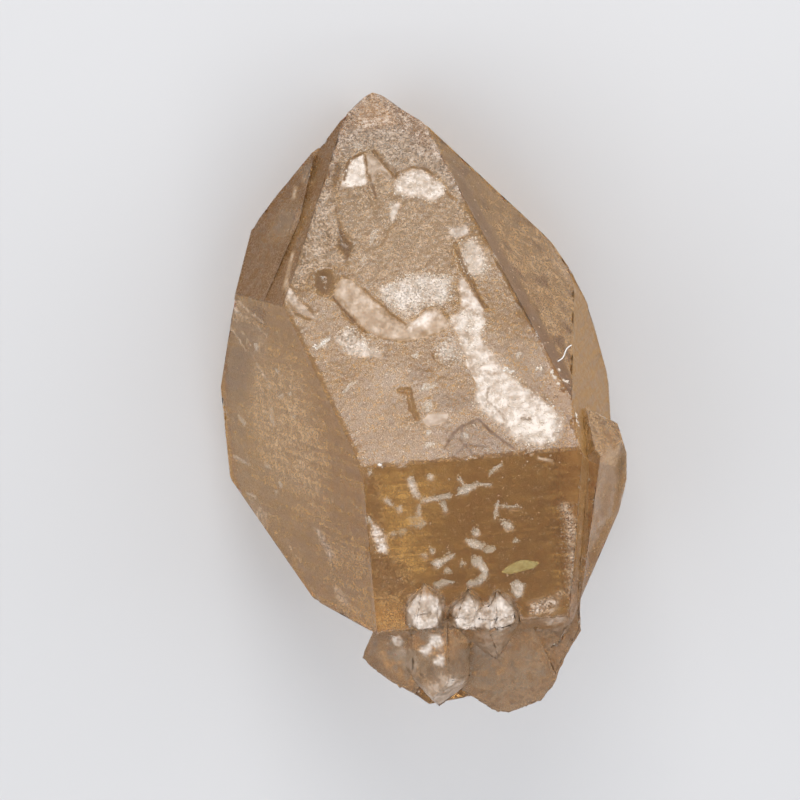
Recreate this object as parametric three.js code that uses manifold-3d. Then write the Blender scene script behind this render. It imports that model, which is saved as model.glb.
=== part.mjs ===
// A natural quartz point (citrine), built the way a crystallographer describes one: every crystal is the
// space inside a set of flat faces, each face given by its direction and its distance, and the small
// crystals that grew on the large one are joined to it as one solid.
//
// Millimetres. +Y runs along the large crystal's c-axis to its tip, +Z is up and square to its front
// prism face, and it lies on its back prism face at Z = 0. The origin is the middle of the footprint.
import * as THREE from "three";
import { ConvexGeometry } from "three/addons/geometries/ConvexGeometry.js";
import { mergeVertices } from "three/addons/utils/BufferGeometryUtils.js";
import Module from "manifold-3d";

const wasm = await Module();
wasm.setup();

// ---------------------------------------------------------------------------------------------------
// Quartz: the angles that every quartz crystal shares.
// ---------------------------------------------------------------------------------------------------
const AXIS_RATIO = 1.1; // c / a of quartz
const TIP_SLOPE = THREE.MathUtils.radToDeg(Math.atan(Math.sqrt(3) / 2 / AXIS_RATIO)); // 38.2 degrees
const WELD = 1e-3; // corners nearer than this are one corner

// ---------------------------------------------------------------------------------------------------
// Driving sizes of this stone.
// ---------------------------------------------------------------------------------------------------
const THICKNESS = 60; // front prism face to back prism face
const ROOT = 45; // front corner to the broken root, along the axis

// A face of a crystal whose c-axis is +Y. Azimuth 0 looks along +Z and 90 along +X; rise leans the face
// towards the tip, so a prism face rises 0 and a tip face TIP_SLOPE. Distance is from the local origin.
function face(azimuth, rise, distance) {
  const a = THREE.MathUtils.degToRad(azimuth);
  const e = THREE.MathUtils.degToRad(rise);
  const normal = new THREE.Vector3(Math.sin(a) * Math.cos(e), Math.sin(e), Math.cos(a) * Math.cos(e));
  return new THREE.Plane(normal, -distance);
}

// A cut or broken face: its outward direction, and one point on it.
function broken(direction, point) {
  const normal = new THREE.Vector3(...direction).normalize();
  return new THREE.Plane().setFromNormalAndCoplanarPoint(normal, new THREE.Vector3(...point));
}

// The point that three planes share, or null where two of them are parallel.
function corner(p, q, r) {
  const qr = new THREE.Vector3().crossVectors(q.normal, r.normal);
  const scale = p.normal.dot(qr);
  if (Math.abs(scale) < 1e-9) return null;
  const rp = new THREE.Vector3().crossVectors(r.normal, p.normal);
  const pq = new THREE.Vector3().crossVectors(p.normal, q.normal);
  return qr.multiplyScalar(-p.constant).addScaledVector(rp, -q.constant).addScaledVector(pq, -r.constant)
    .divideScalar(scale);
}

// The convex solid inside all the faces: its corners are the shared points that no other face cuts off.
function insideOf(faces) {
  const corners = [];
  for (let i = 0; i < faces.length; i++)
    for (let j = i + 1; j < faces.length; j++)
      for (let k = j + 1; k < faces.length; k++) {
        const point = corner(faces[i], faces[j], faces[k]);
        if (point && faces.every((f) => f.distanceToPoint(point) < WELD)) corners.push(point);
      }
  return new ConvexGeometry(corners);
}

function manifoldOf(geometry) {
  const bare = geometry.clone();
  bare.deleteAttribute("normal");
  bare.deleteAttribute("uv");
  const merged = mergeVertices(bare, WELD);
  return new wasm.Manifold(new wasm.Mesh({
    numProp: 3,
    vertProperties: merged.attributes.position.array,
    triVerts: new Uint32Array(merged.index.array),
  }));
}

function geometryOf(manifold) {
  const mesh = manifold.getMesh();
  const geometry = new THREE.BufferGeometry();
  geometry.setAttribute("position", new THREE.BufferAttribute(mesh.vertProperties, mesh.numProp));
  geometry.setIndex(new THREE.BufferAttribute(mesh.triVerts, 1));
  geometry.computeVertexNormals();
  return geometry;
}

// ---------------------------------------------------------------------------------------------------
// The large crystal. Its local origin is the front corner where the great tip face, the front prism
// face and the left prism face meet, so those three have distance 0.
// ---------------------------------------------------------------------------------------------------
const largeCrystal = insideOf([
  // prism
  face(0, 0, 0),
  face(-60, 0, 0),
  face(60, 0, 36),
  face(120, 0, 63),
  face(-120, 0, 48.5),
  face(180, 0, THICKNESS),
  // tip: the three great rhombohedral faces, then the smaller ones between them
  face(0, TIP_SLOPE, 0),
  face(120, TIP_SLOPE, 64.8),
  face(-120, TIP_SLOPE, 54),
  face(-60, TIP_SLOPE, 17),
  face(60, TIP_SLOPE, 29.5),
  face(180, TIP_SLOPE, 79.5),
  // growth faces that lean off the prism, as on a tapering crystal
  face(75, 14.5, 37.5),
  face(-93.5, 16.6, 31.6),
  face(60, -7.2, 34.7),
  face(104, 13.8, 60.7),
  face(93, -14.2, 49.2),
  // the chipped point
  broken([0.22, 0.97, 0.08], [7, 63.3, -49.8]),
  // the root, snapped off in steps
  broken([-0.82, -0.56, 0.1], [-28.5, -11.7, -49.4]),
  broken([-0.46, -0.86, 0.22], [-0.4, -31.8, -0.7]),
  broken([0, -0.75, 0.66], [15, -32, 0]),
  broken([-0.12, -0.98, -0.05], [10, -ROOT, -12]),
  broken([0.35, -0.93, 0.08], [26, -ROOT, -30]),
  broken([-0.45, -0.86, -0.3], [-4, -41, -44]),
  broken([0.9, -0.41, 0.14], [40, -28.3, -8]),
  broken([0.82, -0.55, 0.18], [38.6, -44.3, -30]),
]);

// A layer of later growth that stands proud on the upper left, stepping off the great crystal.
const growthLayer = insideOf([
  face(-60, 37, 16.6),
  face(-93.5, 16.6, 31.6),
  face(-60, 0, 0),
  face(180, 0, THICKNESS),
  broken([-0.663, 0.7, -0.265], [-18.2, 39.5, -49.4]),
  face(-120, TIP_SLOPE, 55.6),
  broken([0.1, 0.9, 0.42], [-4, 50.9, -42.8]),
  broken([0.86, 0.15, 0.48], [-7.8, 43, -37]),
  broken([0, -1, 0], [0, 20, 0]),
  broken([0.45, 0.2, -0.87], [-12, 40, -56]),
  broken([0.87, -0.3, 0.38], [-8.5, 40, -36.2]),
]);

// ---------------------------------------------------------------------------------------------------
// The sidecar: a thin crystal that grew parallel to the large one on its right flank, with its own
// tip, and that tapers away to nothing below.
// ---------------------------------------------------------------------------------------------------
const sidecar = insideOf([
  face(0, 0, -3),
  face(60, -9.8, 36.3),
  face(83, -3.5, 47.9),
  face(88, 12.8, 46.9),
  face(120, 0, 51),
  face(180, 0, 27),
  face(-90, 0, -30),
  face(60, TIP_SLOPE, 27.4),
  face(180, TIP_SLOPE, 12.3),
  face(-42, 46, -22.2),
  face(79, -17.6, 46.9),
  face(76, -26, 45.6),
  broken([0.1, -0.97, -0.2], [38, -36, -14]),
]);

// ---------------------------------------------------------------------------------------------------
// The small crystals on the foot. Each is a quartz prism with its own tip. tip is where the tip
// stands, measured from the front corner; axis is the way it points; radius is the half width.
// ---------------------------------------------------------------------------------------------------
const SIDES = [0, 60, 120, 180, 240, 300];
const UNEVEN = [1, 0.86, 1.1, 1, 0.92, 1.12]; // prism faces never grow quite alike

function smallCrystal({ tip, axis, spin = 0, radius, length, blunt = 0.06 }) {
  const geometry = insideOf([
    face(0, -90, length),
    ...SIDES.map((azimuth, i) => face(azimuth + spin, 0, radius * UNEVEN[i])),
    ...SIDES.map((azimuth, i) => face(azimuth + spin, TIP_SLOPE, i % 2 === 0 ? 0 : blunt * radius)),
  ]);
  const up = new THREE.Vector3(0, 1, 0);
  const turn = new THREE.Quaternion().setFromUnitVectors(up, new THREE.Vector3(...axis).normalize());
  geometry.applyQuaternion(turn);
  geometry.translate(...tip);
  return geometry;
}

const smallCrystals = [
  // three clear points side by side on the foot of the front prism face
  smallCrystal({ tip: [9.5, -22, 0.6], axis: [0.02, 1, 0.12], radius: 3.9, length: 8.4, spin: 12 }),
  smallCrystal({ tip: [17.4, -24, 0.7], axis: [0, 1, 0.12], radius: 3.6, length: 7.4, spin: -8 }),
  smallCrystal({ tip: [22.5, -24.8, 0.2], axis: [-0.16, 1, 0.1], radius: 3.7, length: 6.8, spin: 20 }),
  // two larger ones that grew downwards under them
  smallCrystal({
    tip: [10.3, -48.7, -3],
    axis: [-0.06, -1, 0.04],
    radius: 5.3,
    length: 19,
    spin: 25,
    blunt: 0.3,
  }),
  smallCrystal({ tip: [21.8, -40.4, -3.4], axis: [0.06, -1, 0.02], radius: 6.4, length: 11, spin: 2 }),
];

// The frosted block at the lower right, and the dark chunk at the lower left.
const frostedBlock = insideOf([
  broken([-0.1, -0.12, 1], [26, -42, -3.6]),
  broken([0.5, 0.1, 0.86], [33.4, -36, -4.4]),
  broken([0.37, 0.85, -0.37], [34, -33.3, -9]),
  broken([0.98, 0.17, -0.1], [36, -36.7, -9]),
  broken([0.88, -0.47, 0.12], [34, -44, -9]),
  broken([0.79, -0.59, 0.16], [30.8, -49.6, -9]),
  broken([0.31, -0.92, 0.26], [27, -51.7, -9]),
  broken([-0.09, -0.96, 0.26], [22.7, -52.6, -9]),
  broken([-0.62, -0.77, 0.17], [18.2, -50, -9]),
  broken([-1, 0.02, -0.21], [15.4, -45.8, -9]),
  broken([-0.3, 0.9, -0.3], [20, -33.5, -9]),
  broken([0.1, -0.86, -0.5], [23, -51.6, -12.5]),
  broken([0.5, -0.3, -0.8], [34, -40, -22]),
]);

const darkChunk = insideOf([
  broken([-0.3, -0.2, 0.93], [2, -41, -5]),
  broken([-0.83, 0.49, -0.26], [-1.9, -37.1, -9]),
  broken([-0.75, -0.64, 0.14], [-2.2, -40.9, -9]),
  broken([-0.64, -0.75, 0.18], [1.1, -44.1, -9]),
  broken([-0.45, -0.87, 0.22], [4.4, -46.5, -9]),
  broken([0.97, -0.24, 0], [7.5, -43, -9]),
  broken([0.1, 1, 0], [4, -30, -9]),
  broken([-0.45, -0.6, -0.66], [0, -43, -13.5]),
  broken([0, -0.2, -0.98], [3, -40, -26]),
]);

// The stump of the root behind them.
const rootStump = insideOf([
  face(0, 0, -8),
  face(60, 0, 31),
  broken([1, -0.07, 0.06], [38.7, -32.6, -8]),
  broken([0.82, -0.55, 0.18], [38.6, -44.3, -30]),
  broken([0.1, -0.99, -0.1], [20, -46, -30]),
  broken([-0.64, -0.75, 0.1], [1.1, -46, -30]),
  broken([-1, 0, 0], [0, 0, -30]),
  broken([0, 1, 0], [0, -20, 0]),
  face(180, 0, 50),
]);

// ---------------------------------------------------------------------------------------------------
// One stone.
// ---------------------------------------------------------------------------------------------------
const grownOn = [growthLayer, sidecar, rootStump, frostedBlock, darkChunk, ...smallCrystals];
const stone = grownOn.reduce(
  (grown, crystal) => grown.add(manifoldOf(crystal)),
  manifoldOf(largeCrystal),
);

const geometry = geometryOf(stone);
geometry.computeBoundingBox();
const box = geometry.boundingBox;
const middle = box.getCenter(new THREE.Vector3());
geometry.translate(-middle.x, -middle.y, THICKNESS);

const citrine = new THREE.MeshStandardMaterial({
  color: 0xa37a4c,
  roughness: 0.35,
  metalness: 0,
  transparent: true,
  opacity: 0.6,
});

const point = new THREE.Mesh(geometry, citrine);
point.name = "citrine_crystal";

const part = new THREE.Group();
part.add(point);

export default part;
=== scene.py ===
import math
from collections import defaultdict

import bmesh
import bpy
import numpy as np
from mathutils import Matrix, Vector, geometry, noise
from mathutils.bvhtree import BVHTree


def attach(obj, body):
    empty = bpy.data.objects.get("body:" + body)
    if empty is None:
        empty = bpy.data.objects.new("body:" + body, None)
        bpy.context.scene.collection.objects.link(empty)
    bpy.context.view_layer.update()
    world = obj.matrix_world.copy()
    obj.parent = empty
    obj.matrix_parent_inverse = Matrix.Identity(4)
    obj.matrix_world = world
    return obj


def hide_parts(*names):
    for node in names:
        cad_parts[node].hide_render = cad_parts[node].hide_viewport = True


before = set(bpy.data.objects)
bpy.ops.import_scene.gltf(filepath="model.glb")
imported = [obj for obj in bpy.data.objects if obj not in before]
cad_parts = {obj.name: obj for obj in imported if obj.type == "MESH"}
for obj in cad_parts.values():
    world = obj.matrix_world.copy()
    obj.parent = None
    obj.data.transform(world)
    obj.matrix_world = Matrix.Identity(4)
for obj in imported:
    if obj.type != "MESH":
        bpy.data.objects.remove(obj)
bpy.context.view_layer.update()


# ---------------------------------------------------------------------------
# Where the stone lies. It rests on its back prism face with the tip along +Y. Every place below is in
# millimetres from its front corner, where the great tip face, the front prism face and the left prism
# face meet: x to the right, y along the axis to the tip, z out of the front prism face.
# ---------------------------------------------------------------------------
MM = 0.001
THICKNESS = 60
TOUCHING = 1e-6  # metres
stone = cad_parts["citrine_crystal"]
front_corners = [v.co for v in stone.data.vertices if abs(v.co.z - THICKNESS * MM) < TOUCHING]
ridge_y = max(p.y for p in front_corners)
CORNER = min((p for p in front_corners if p.y > ridge_y - TOUCHING), key=lambda p: p.x).copy()


def place(x, y, z):
    return CORNER + Vector((x, y, z)) * MM


def show(name, data):
    """A new object, put into the scene."""
    thing = bpy.data.objects.new(name, data)
    bpy.context.scene.collection.objects.link(thing)
    return thing


# ---------------------------------------------------------------------------
# The camera looks down on the front prism face, with the tip leaned 13 degrees towards it and the stone
# turned 5 degrees in the picture.
# ---------------------------------------------------------------------------
LEAN = math.radians(13)
ROLL = math.radians(5)
EYE = (6.93, 12.585, 405)
camera_data = bpy.data.cameras.new("camera")
camera_data.lens = 100
camera_data.sensor_width = 36
camera = show("camera", camera_data)
look = Matrix.Rotation(-LEAN, 4, "X") @ Matrix.Rotation(-ROLL, 4, "Z")
camera.matrix_world = Matrix.Translation(CORNER) @ look @ Matrix.Translation(Vector(EYE) * MM)
bpy.context.scene.camera = camera


# ---------------------------------------------------------------------------
# The table is a plain sheet of pale card. Four large dim softboxes stand round it: beyond the tip, to the
# right, to the left and before the foot. The room is pale at the horizon and dimmer overhead.
# ---------------------------------------------------------------------------
def linear(hex_colour):
    """An sRGB hex colour as linear light."""
    channels = [int(hex_colour[i : i + 2], 16) / 255 for i in (0, 2, 4)]
    return [c / 12.92 if c <= 0.04045 else ((c + 0.055) / 1.055) ** 2.4 for c in channels]


def opaque(hex_colour):
    return (*linear(hex_colour), 1)


def add(tree, kind, links=None, **settings):
    """Adds a node: settings are its own properties, and links fills its inputs, by name or number."""
    node = tree.nodes.new(kind)
    for name, value in settings.items():
        setattr(node, name, value)
    for name, value in (links or {}).items():
        if isinstance(value, bpy.types.NodeSocket):
            tree.links.new(value, node.inputs[name])
        else:
            node.inputs[name].default_value = value
    return node


def new_material(name):
    material = bpy.data.materials.new(name)
    material.use_nodes = True
    material.node_tree.nodes.clear()
    return material, material.node_tree


def softbox(name, where_mm, aim_mm, size_mm, watts, tint):
    data = bpy.data.lights.new(name, "AREA")
    data.shape = "RECTANGLE"
    data.size = size_mm[0] * MM
    data.size_y = size_mm[1] * MM
    data.energy = watts
    data.color = linear(tint)
    light = show(name, data)
    light.location = place(*where_mm)
    light.rotation_euler = (place(*aim_mm) - light.location).to_track_quat("-Z", "Y").to_euler()


softbox("tip_softbox", (30, 520, 330), (5, 0, -20), (300, 240), 1.6, "FFFDFA")
softbox("right_softbox", (430, 60, 300), (10, 0, -20), (500, 500), 0.75, "FFFFFF")
softbox("left_softbox", (-430, -80, 320), (-15, 0, -20), (600, 600), 0.95, "FFFFFF")
softbox("front_softbox", (60, -460, 330), (10, 0, -20), (320, 200), 0.6, "FFFFFF")

AT_HORIZON = 1.1
OVERHEAD = 0.5
world = bpy.data.worlds.new("room")
world.use_nodes = True
room = world.node_tree
looking = add(room, "ShaderNodeTexCoord")
upwards = add(room, "ShaderNodeSeparateXYZ", {0: looking.outputs["Generated"]})
level = add(room, "ShaderNodeMapRange", {0: upwards.outputs["Z"], 1: 0.0, 2: 1.0, 3: AT_HORIZON, 4: OVERHEAD})
room.links.new(level.outputs[0], room.nodes["Background"].inputs["Strength"])
room.nodes["Background"].inputs["Color"].default_value = opaque("EDEFF2")
bpy.context.scene.world = world

TABLE_HALF = 6  # metres
TABLE_GAP = 0.0003
table_mesh = bpy.data.meshes.new("table")
square = [(-1, -1), (1, -1), (1, 1), (-1, 1)]
table_mesh.from_pydata([(x * TABLE_HALF, y * TABLE_HALF, -TABLE_GAP) for x, y in square], [], [(0, 1, 2, 3)])
table = show("table", table_mesh)
# Uncoated card has no gloss, so it takes only soft shade under the stone.
card, tree = new_material("pale grey card, matt")
sheet = add(tree, "ShaderNodeBsdfPrincipled", {"Base Color": opaque("D6D6D8"), "Roughness": 0.9})
add(tree, "ShaderNodeOutputMaterial", {"Surface": sheet.outputs[0]})
table_mesh.materials.append(card)

scene = bpy.context.scene
scene.view_settings.view_transform = "Standard"
scene.cycles.max_bounces = 24
scene.cycles.transmission_bounces = 20
scene.cycles.glossy_bounces = 8
scene.cycles.diffuse_bounces = 5
scene.cycles.caustics_refractive = True
scene.cycles.caustics_reflective = True
scene.cycles.sample_clamp_indirect = 4
scene.cycles.use_denoising = True


# ---------------------------------------------------------------------------
# The crystal. One grown piece of citrine: a great point, a parallel crystal on its right side, a growth
# layer on its left shoulder and small points at its foot. Its prism faces are finely lined across, its
# tip face is etched in plates and hollows, and its foot is broken off with shell-shaped breaks.
# ---------------------------------------------------------------------------
WELD = 2e-6  # metres
FLAT = 0.01  # radians
grown = bmesh.new()
grown.from_mesh(stone.data)
bmesh.ops.remove_doubles(grown, verts=grown.verts, dist=WELD)
bmesh.ops.dissolve_limit(grown, angle_limit=FLAT, verts=grown.verts, edges=grown.edges)
grown.normal_update()
for parts in (grown.verts, grown.edges, grown.faces):
    parts.index_update()

# The faces of quartz, by their turn about the axis and their rise towards the tip.
TIP_RISE = 38.21
GROWN_FACES = {
    "front": (0, 0), "left": (-60, 0), "right": (60, 0), "back_left": (-120, 0), "back_right": (120, 0),
    "rest": (180, 0), "tip": (0, TIP_RISE), "left_tip": (-60, TIP_RISE), "right_tip": (60, TIP_RISE),
    "back_left_tip": (-120, TIP_RISE), "back_right_tip": (120, TIP_RISE), "back_tip": (180, TIP_RISE),
    "right_taper": (75, 14.5), "left_taper": (-93.5, 16.6), "layer": (-60, 37), "side_crystal": (88, 12.8),
    "side_edge": (83, -3.5), "block": (-5.8, -6.9),
}
SAME_FACE = 0.9985  # cosine of the angle within which a facet counts as a grown face
FOOT_FACE = 60  # square mm: the faces of the small points are smaller
FOOT_TOP = -21.5
FOOT_BACK = -12


def direction(turn, rise):
    turn, rise = math.radians(turn), math.radians(rise)
    return Vector((math.sin(turn) * math.cos(rise), math.sin(rise), math.cos(turn) * math.cos(rise)))


def face_name(facet):
    """Which grown face a facet belongs to; small points at the foot, and breaks, have no such face."""
    centre = (facet.calc_center_median() - CORNER) / MM
    small = facet.calc_area() < FOOT_FACE * MM * MM
    if centre.y < FOOT_TOP and centre.z > FOOT_BACK and small:
        return "foot"
    closeness = {name: facet.normal.dot(direction(*turns)) for name, turns in GROWN_FACES.items()}
    name = max(closeness, key=closeness.get)
    return name if closeness[name] > SAME_FACE else "broken"


NO_LENGTH = 1e-12


def signed_distance(outline, points):
    """How far each of the points lies inside a closed outline; negative outside it."""
    starts = np.asarray(outline, float)
    runs = np.roll(starts, -1, axis=0) - starts
    nearest = np.full(len(points), np.inf)
    inside = np.zeros(len(points), bool)
    for (ax, ay), (rx, ry) in zip(starts, runs):
        px, py = points[:, 0] - ax, points[:, 1] - ay
        along = np.clip((px * rx + py * ry) / max(rx * rx + ry * ry, NO_LENGTH), 0, 1)
        nearest = np.minimum(nearest, (px - along * rx) ** 2 + (py - along * ry) ** 2)
        if abs(ry) > NO_LENGTH:
            share = py / ry
            inside ^= (share >= 0) & (share < 1) & (px < share * rx)
    return np.sqrt(nearest) * np.where(inside, 1, -1)


def near_path(path, points_2d):
    """The distance from each point to an open path."""
    nearest = np.full(len(points_2d), np.inf)
    for (ax, ay), (bx, by) in zip(path, path[1:]):
        rx, ry = bx - ax, by - ay
        px, py = points_2d[:, 0] - ax, points_2d[:, 1] - ay
        along = np.clip((px * rx + py * ry) / (rx * rx + ry * ry), 0, 1)
        nearest = np.minimum(nearest, np.hypot(px - along * rx, py - along * ry))
    return nearest


JITTER = 0.22  # how far the filling points stray from their even places, in spacings
CLEARANCE = 0.45  # how near to the ring they may come, in spacings
SAME_POINT = 1e-6
INSIDE_ONLY = 1


def tile(ring, spacing, seed):
    """Cuts the inside of a ring into even triangles: the points it adds, their depth in, the triangles."""
    ring = np.asarray(ring, float)
    low, high = ring.min(0), ring.max(0)
    rows = np.arange(low[1], high[1] + spacing, spacing * math.sqrt(3) / 2)
    columns = np.arange(low[0], high[0] + spacing, spacing)
    grid_x, grid_y = np.meshgrid(columns, rows)
    grid_x[1::2] += spacing / 2
    jitter = np.random.default_rng(seed).uniform(-JITTER, JITTER, (2, *grid_x.shape)) * spacing
    filling = np.stack([grid_x + jitter[0], grid_y + jitter[1]], -1).reshape(-1, 2)
    depth_in = signed_distance(ring, filling)
    clear = depth_in > CLEARANCE * spacing
    filling, depth_in = filling[clear], depth_in[clear]
    flat = [Vector(p) for p in np.vstack([ring, filling])]
    whole_ring = [range(len(ring))]
    _, _, cut, sources, _, _ = geometry.delaunay_2d_cdt(flat, [], whole_ring, INSIDE_ONLY, SAME_POINT, True)
    return filling, depth_in, [[sources[i][0] for i in corners] for corners in cut]


# Sizes of the triangles, in mm: along the edges, on each face, and on any other face.
EDGE_STEP = 0.4
SPACING = {"tip": 0.34, "foot": 0.35, "block": 0.45, "rest": 2.5, "back_left": 0.9, "back_right": 0.9}
OTHER_SPACING = 0.6
points = [(v.co - CORNER) / MM for v in grown.verts]
between = {}
for edge in grown.edges:
    start, end = (points[v.index] for v in edge.verts)
    steps = max(1, round((end - start).length / EDGE_STEP))
    between[edge.index] = range(len(points), len(points) + steps - 1)
    points += [start.lerp(end, i / steps) for i in range(1, steps)]
edge_count = len(points)

FAR = 99.0
triangles, facet_of, margins = [], [], [0.0] * edge_count
ridge_away = [FAR] * edge_count  # distance in mm to the nearest outward edge of the facet
for facet in grown.faces:
    name = face_name(facet)
    ring = []
    ridges = []
    for loop in facet.loops:
        middle = between[loop.edge.index]
        ring.append(loop.vert.index)
        ring += middle if loop.vert == loop.edge.verts[0] else reversed(middle)
        if loop.edge.is_convex:
            ridges.append([points[v.index] for v in loop.edge.verts])
            for i in [*middle, *(v.index for v in loop.edge.verts)]:
                ridge_away[i] = 0.0
    origin = points[ring[0]]
    across = facet.normal.orthogonal().normalized()
    up = facet.normal.cross(across)
    flat_ring = [((points[i] - origin).dot(across), (points[i] - origin).dot(up)) for i in ring]
    filling, depth_in, cut = tile(flat_ring, SPACING.get(name, OTHER_SPACING), facet.index)
    numbers = ring + list(range(len(points), len(points) + len(filling)))
    points += [origin + across * x + up * y for x, y in filling]
    margins += list(depth_in)
    away = np.full(len(filling), FAR)
    for ends in ridges:
        flat_ends = [((end - origin).dot(across), (end - origin).dot(up)) for end in ends]
        away = np.minimum(away, near_path(flat_ends, filling))
    ridge_away += list(away)
    triangles += [[numbers[i] for i in corners] for corners in cut]
    facet_of += [facet.index] * len(cut)

facets_at = defaultdict(set)
for corners, facet in zip(triangles, facet_of):
    for corner in corners:
        facets_at[corner].add(facet)
normals = [f.normal.copy() for f in grown.faces]
names = [face_name(f) for f in grown.faces]
out = np.array([sum((normals[f] for f in facets_at[i]), Vector()).normalized() for i in range(len(points))])
at = np.array(points)
margin = np.array(margins)
members = {
    name: np.array([i for i in range(len(points)) if any(names[f] == name for f in facets_at[i])], int)
    for name in [*GROWN_FACES, "foot", "broken"]
}
SEED_STEP = (17.3, 5.1, 9.7)


def lumps(places, size, seed):
    """Soft noise from -1 to 1, with lumps of about that size in mm, at places in space or on a face."""
    if places.shape[1] == 2:
        places = np.c_[places, np.zeros(len(places))]
    shift = Vector([seed * step for step in SEED_STEP])
    return np.array([noise.noise(Vector(p) / size + shift) for p in places])


def swell(places, layer):
    """One layer of relief or of patches. A layer is its lumps' size in mm, its height, and its seed."""
    size, height, seed = layer
    return height * lumps(places, size, seed)


def stray(places, layer):
    """How far each place is moved about on a face, in mm; a layer's height is the farthest it goes."""
    size, reach, seed = layer
    return reach * np.stack([lumps(places, size, seed), lumps(places, size, seed + 1)], -1)


def rise(value, start, end):
    """0 before start, 1 past end, and a smooth slope between them."""
    share = np.clip((value - start) / (end - start), 0, 1)
    return share * share * (3 - 2 * share)


def rise_over(value, span, width):
    """The same, from a start to an end that are given in widths."""
    return rise(value, span[0] * width, span[1] * width)


# The tip face, in mm on the face itself: u to the right and v up to the tip, from the front corner.
# Etching has left plates, a basin below an arch, a tongue across it and hollows. Depths are in mm.
TIP_UP = Vector((0, math.cos(math.radians(TIP_RISE)), -math.sin(math.radians(TIP_RISE))))
BASIN = [(-1, 59), (0.5, 62.3), (1.5, 65), (3, 66.5), (5, 67.3), (7, 67.3), (8.5, 64.5), (10.5, 61),
         (12, 62.2), (14, 62.8), (16.5, 62.5), (18.5, 60.5), (20, 58), (22.5, 54.5), (24, 52), (23.5, 49),
         (21, 46.5), (20.5, 43), (20, 38), (18.8, 33), (17.5, 31), (16, 32), (14, 31.5), (12, 29.5),
         (10.5, 28.8), (8, 31), (5, 34.5), (3, 37), (1, 39.5), (0, 42), (0.5, 45.5), (1.5, 47.5),
         (0, 50), (-1.2, 53), (-0.5, 56)]
LEFT_ARCH = [(0, 60), (1, 63.5), (3, 66), (5, 67), (5.3, 63), (5.2, 60), (2, 59.7)]
RIGHT_ARCH = [(10.6, 60.6), (12, 61.8), (14, 62.5), (16.2, 62.3), (18.2, 60.3), (20, 58.3), (20.2, 56.5),
              (18, 55), (15, 56), (12, 56.8), (10.5, 57.5)]
ARCH_RIB = [(5.4, 66.8), (6.8, 67), (8.4, 64.8), (10.4, 61), (9.6, 60.6), (8, 62.5), (6.4, 60.5), (5.6, 63)]
TONGUE = [(-1, 40), (1, 39.5), (3, 37), (5, 34.5), (8, 31), (10.5, 28.8), (12, 29.5), (14, 31.5), (16, 32),
          (17.5, 31), (18.7, 28), (18, 27), (15, 26), (10, 25), (6, 26), (3, 28), (0, 31), (-2, 34.5),
          (-3, 36.5), (-2, 39)]
LEFT_RIDGE = [(-12, 40), (-10, 38), (-8, 34.5), (-6, 31.8), (-6.5, 31), (-10, 33), (-12, 36)]
OVAL_HOLLOW = [(-6, 42), (-3, 42), (-2.5, 39), (-3.5, 36.5), (-5, 37), (-6.5, 39)]
SMALL_HOLLOW = [(-1, 51.5), (0.5, 48.5), (1.8, 47), (0.4, 43.5), (-1.5, 47.5)]
MILKY_LOBE = [(19, 30), (22, 31), (25, 30.5), (25.3, 28), (24, 25), (26, 22), (27, 19.5), (29, 16.5),
              (31, 14.5), (33, 12.5), (35.5, 10), (37.5, 7), (37.5, 4.5), (36, 2), (33, 1.3), (30, 2),
              (27.5, 4), (25.5, 6.5), (23, 9), (21, 11.5), (22, 14), (22, 17), (21, 20), (20, 23),
              (20, 26), (18.5, 28)]
LEFT_STRIP = [(-11.5, 41), (-9, 44), (-8, 48), (-6.5, 53), (-5, 58), (-3, 61), (-1, 66), (0, 71), (2, 67),
              (0, 61.5), (-1, 59), (-0.5, 56), (-1.2, 53), (0, 50), (-1.5, 47), (0, 43), (-2.5, 42.5),
              (-6, 42.5), (-8, 39), (-10, 38)]
# outline, depth, width of its edge
PLATES = [
    (BASIN, 0.5, 0.7),
    (LEFT_ARCH, 0.3, 1.2),
    (RIGHT_ARCH, 0.25, 2.0),
    (ARCH_RIB, 0.12, 0.7),
    (TONGUE, 0.0, 1.3),
    (LEFT_RIDGE, 0.0, 0.6),
    (OVAL_HOLLOW, 0.9, 1.4),
    (SMALL_HOLLOW, 0.7, 1.2),
    (MILKY_LOBE, 0.08, 2.6),
]
# path, half width, depth
GROOVES = [
    ([(7.3, 67.2), (8.9, 64.5), (11, 61.2)], 0.35, 0.45),
    ([(8.3, 15.4), (9.6, 15.2), (9.9, 12.6), (10.9, 9.3)], 0.3, 0.4),
    ([(-3, 36), (-1, 33), (0.8, 30), (2.2, 28.2)], 0.22, 0.25),
    ([(21, 45), (22.5, 39), (24.3, 33.5), (25.6, 30.8)], 0.35, 0.35),
    ([(4.8, 59), (6, 57), (6.6, 55)], 0.3, 0.2),
    ([(6, 46), (8, 48.5), (10, 51.5)], 0.3, 0.2),
]
RINGS = [((-0.5, 26.8), 2.7), ((17, 21.5), 3.0)]
# A layer of noise is its lumps' size in mm, its height in mm, and its seed.
TIP_LEVEL = 0.3
TIP_RIM = (-0.4, 1.0)  # mm from the face's edge, from level with it to its full depth
ROLLING = (9, 0.22, 5)
UPPER_LEVEL = 0.12  # the level nearest the tip, from UPPER_START to UPPER_END
UPPER_START = 62
UPPER_END = 70
UPPER_SLANT = 0.4
PLATE_EDGE = (-0.15, 0.85)
GROOVE_EDGE = (0.3, 1.6)
PLATE_STRAY = 0.6
PLATE_LUMPS = (2.6, 1, 3)
RAGGED = (0.9, 0.3, 23)
BASIN_RISE = 0.15  # the basin is shallower at its lower end
BASIN_LOW = 34
BASIN_HIGH = 52
SAW_STEP = 1.15  # mm between the slanting steps on the left strip
SAW_SLANT = (0.95, 0.3)
SAW_DEPTH = 0.35
SAW_LIFT = 0.1
SAW_STRAY = 0.9
RING_STEP = 1.15  # mm between the rings of a ringed hollow
RING_DEPTH = 0.16
RING_LIFT = 0.1
RING_EDGE = (0.7, 1)
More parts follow.
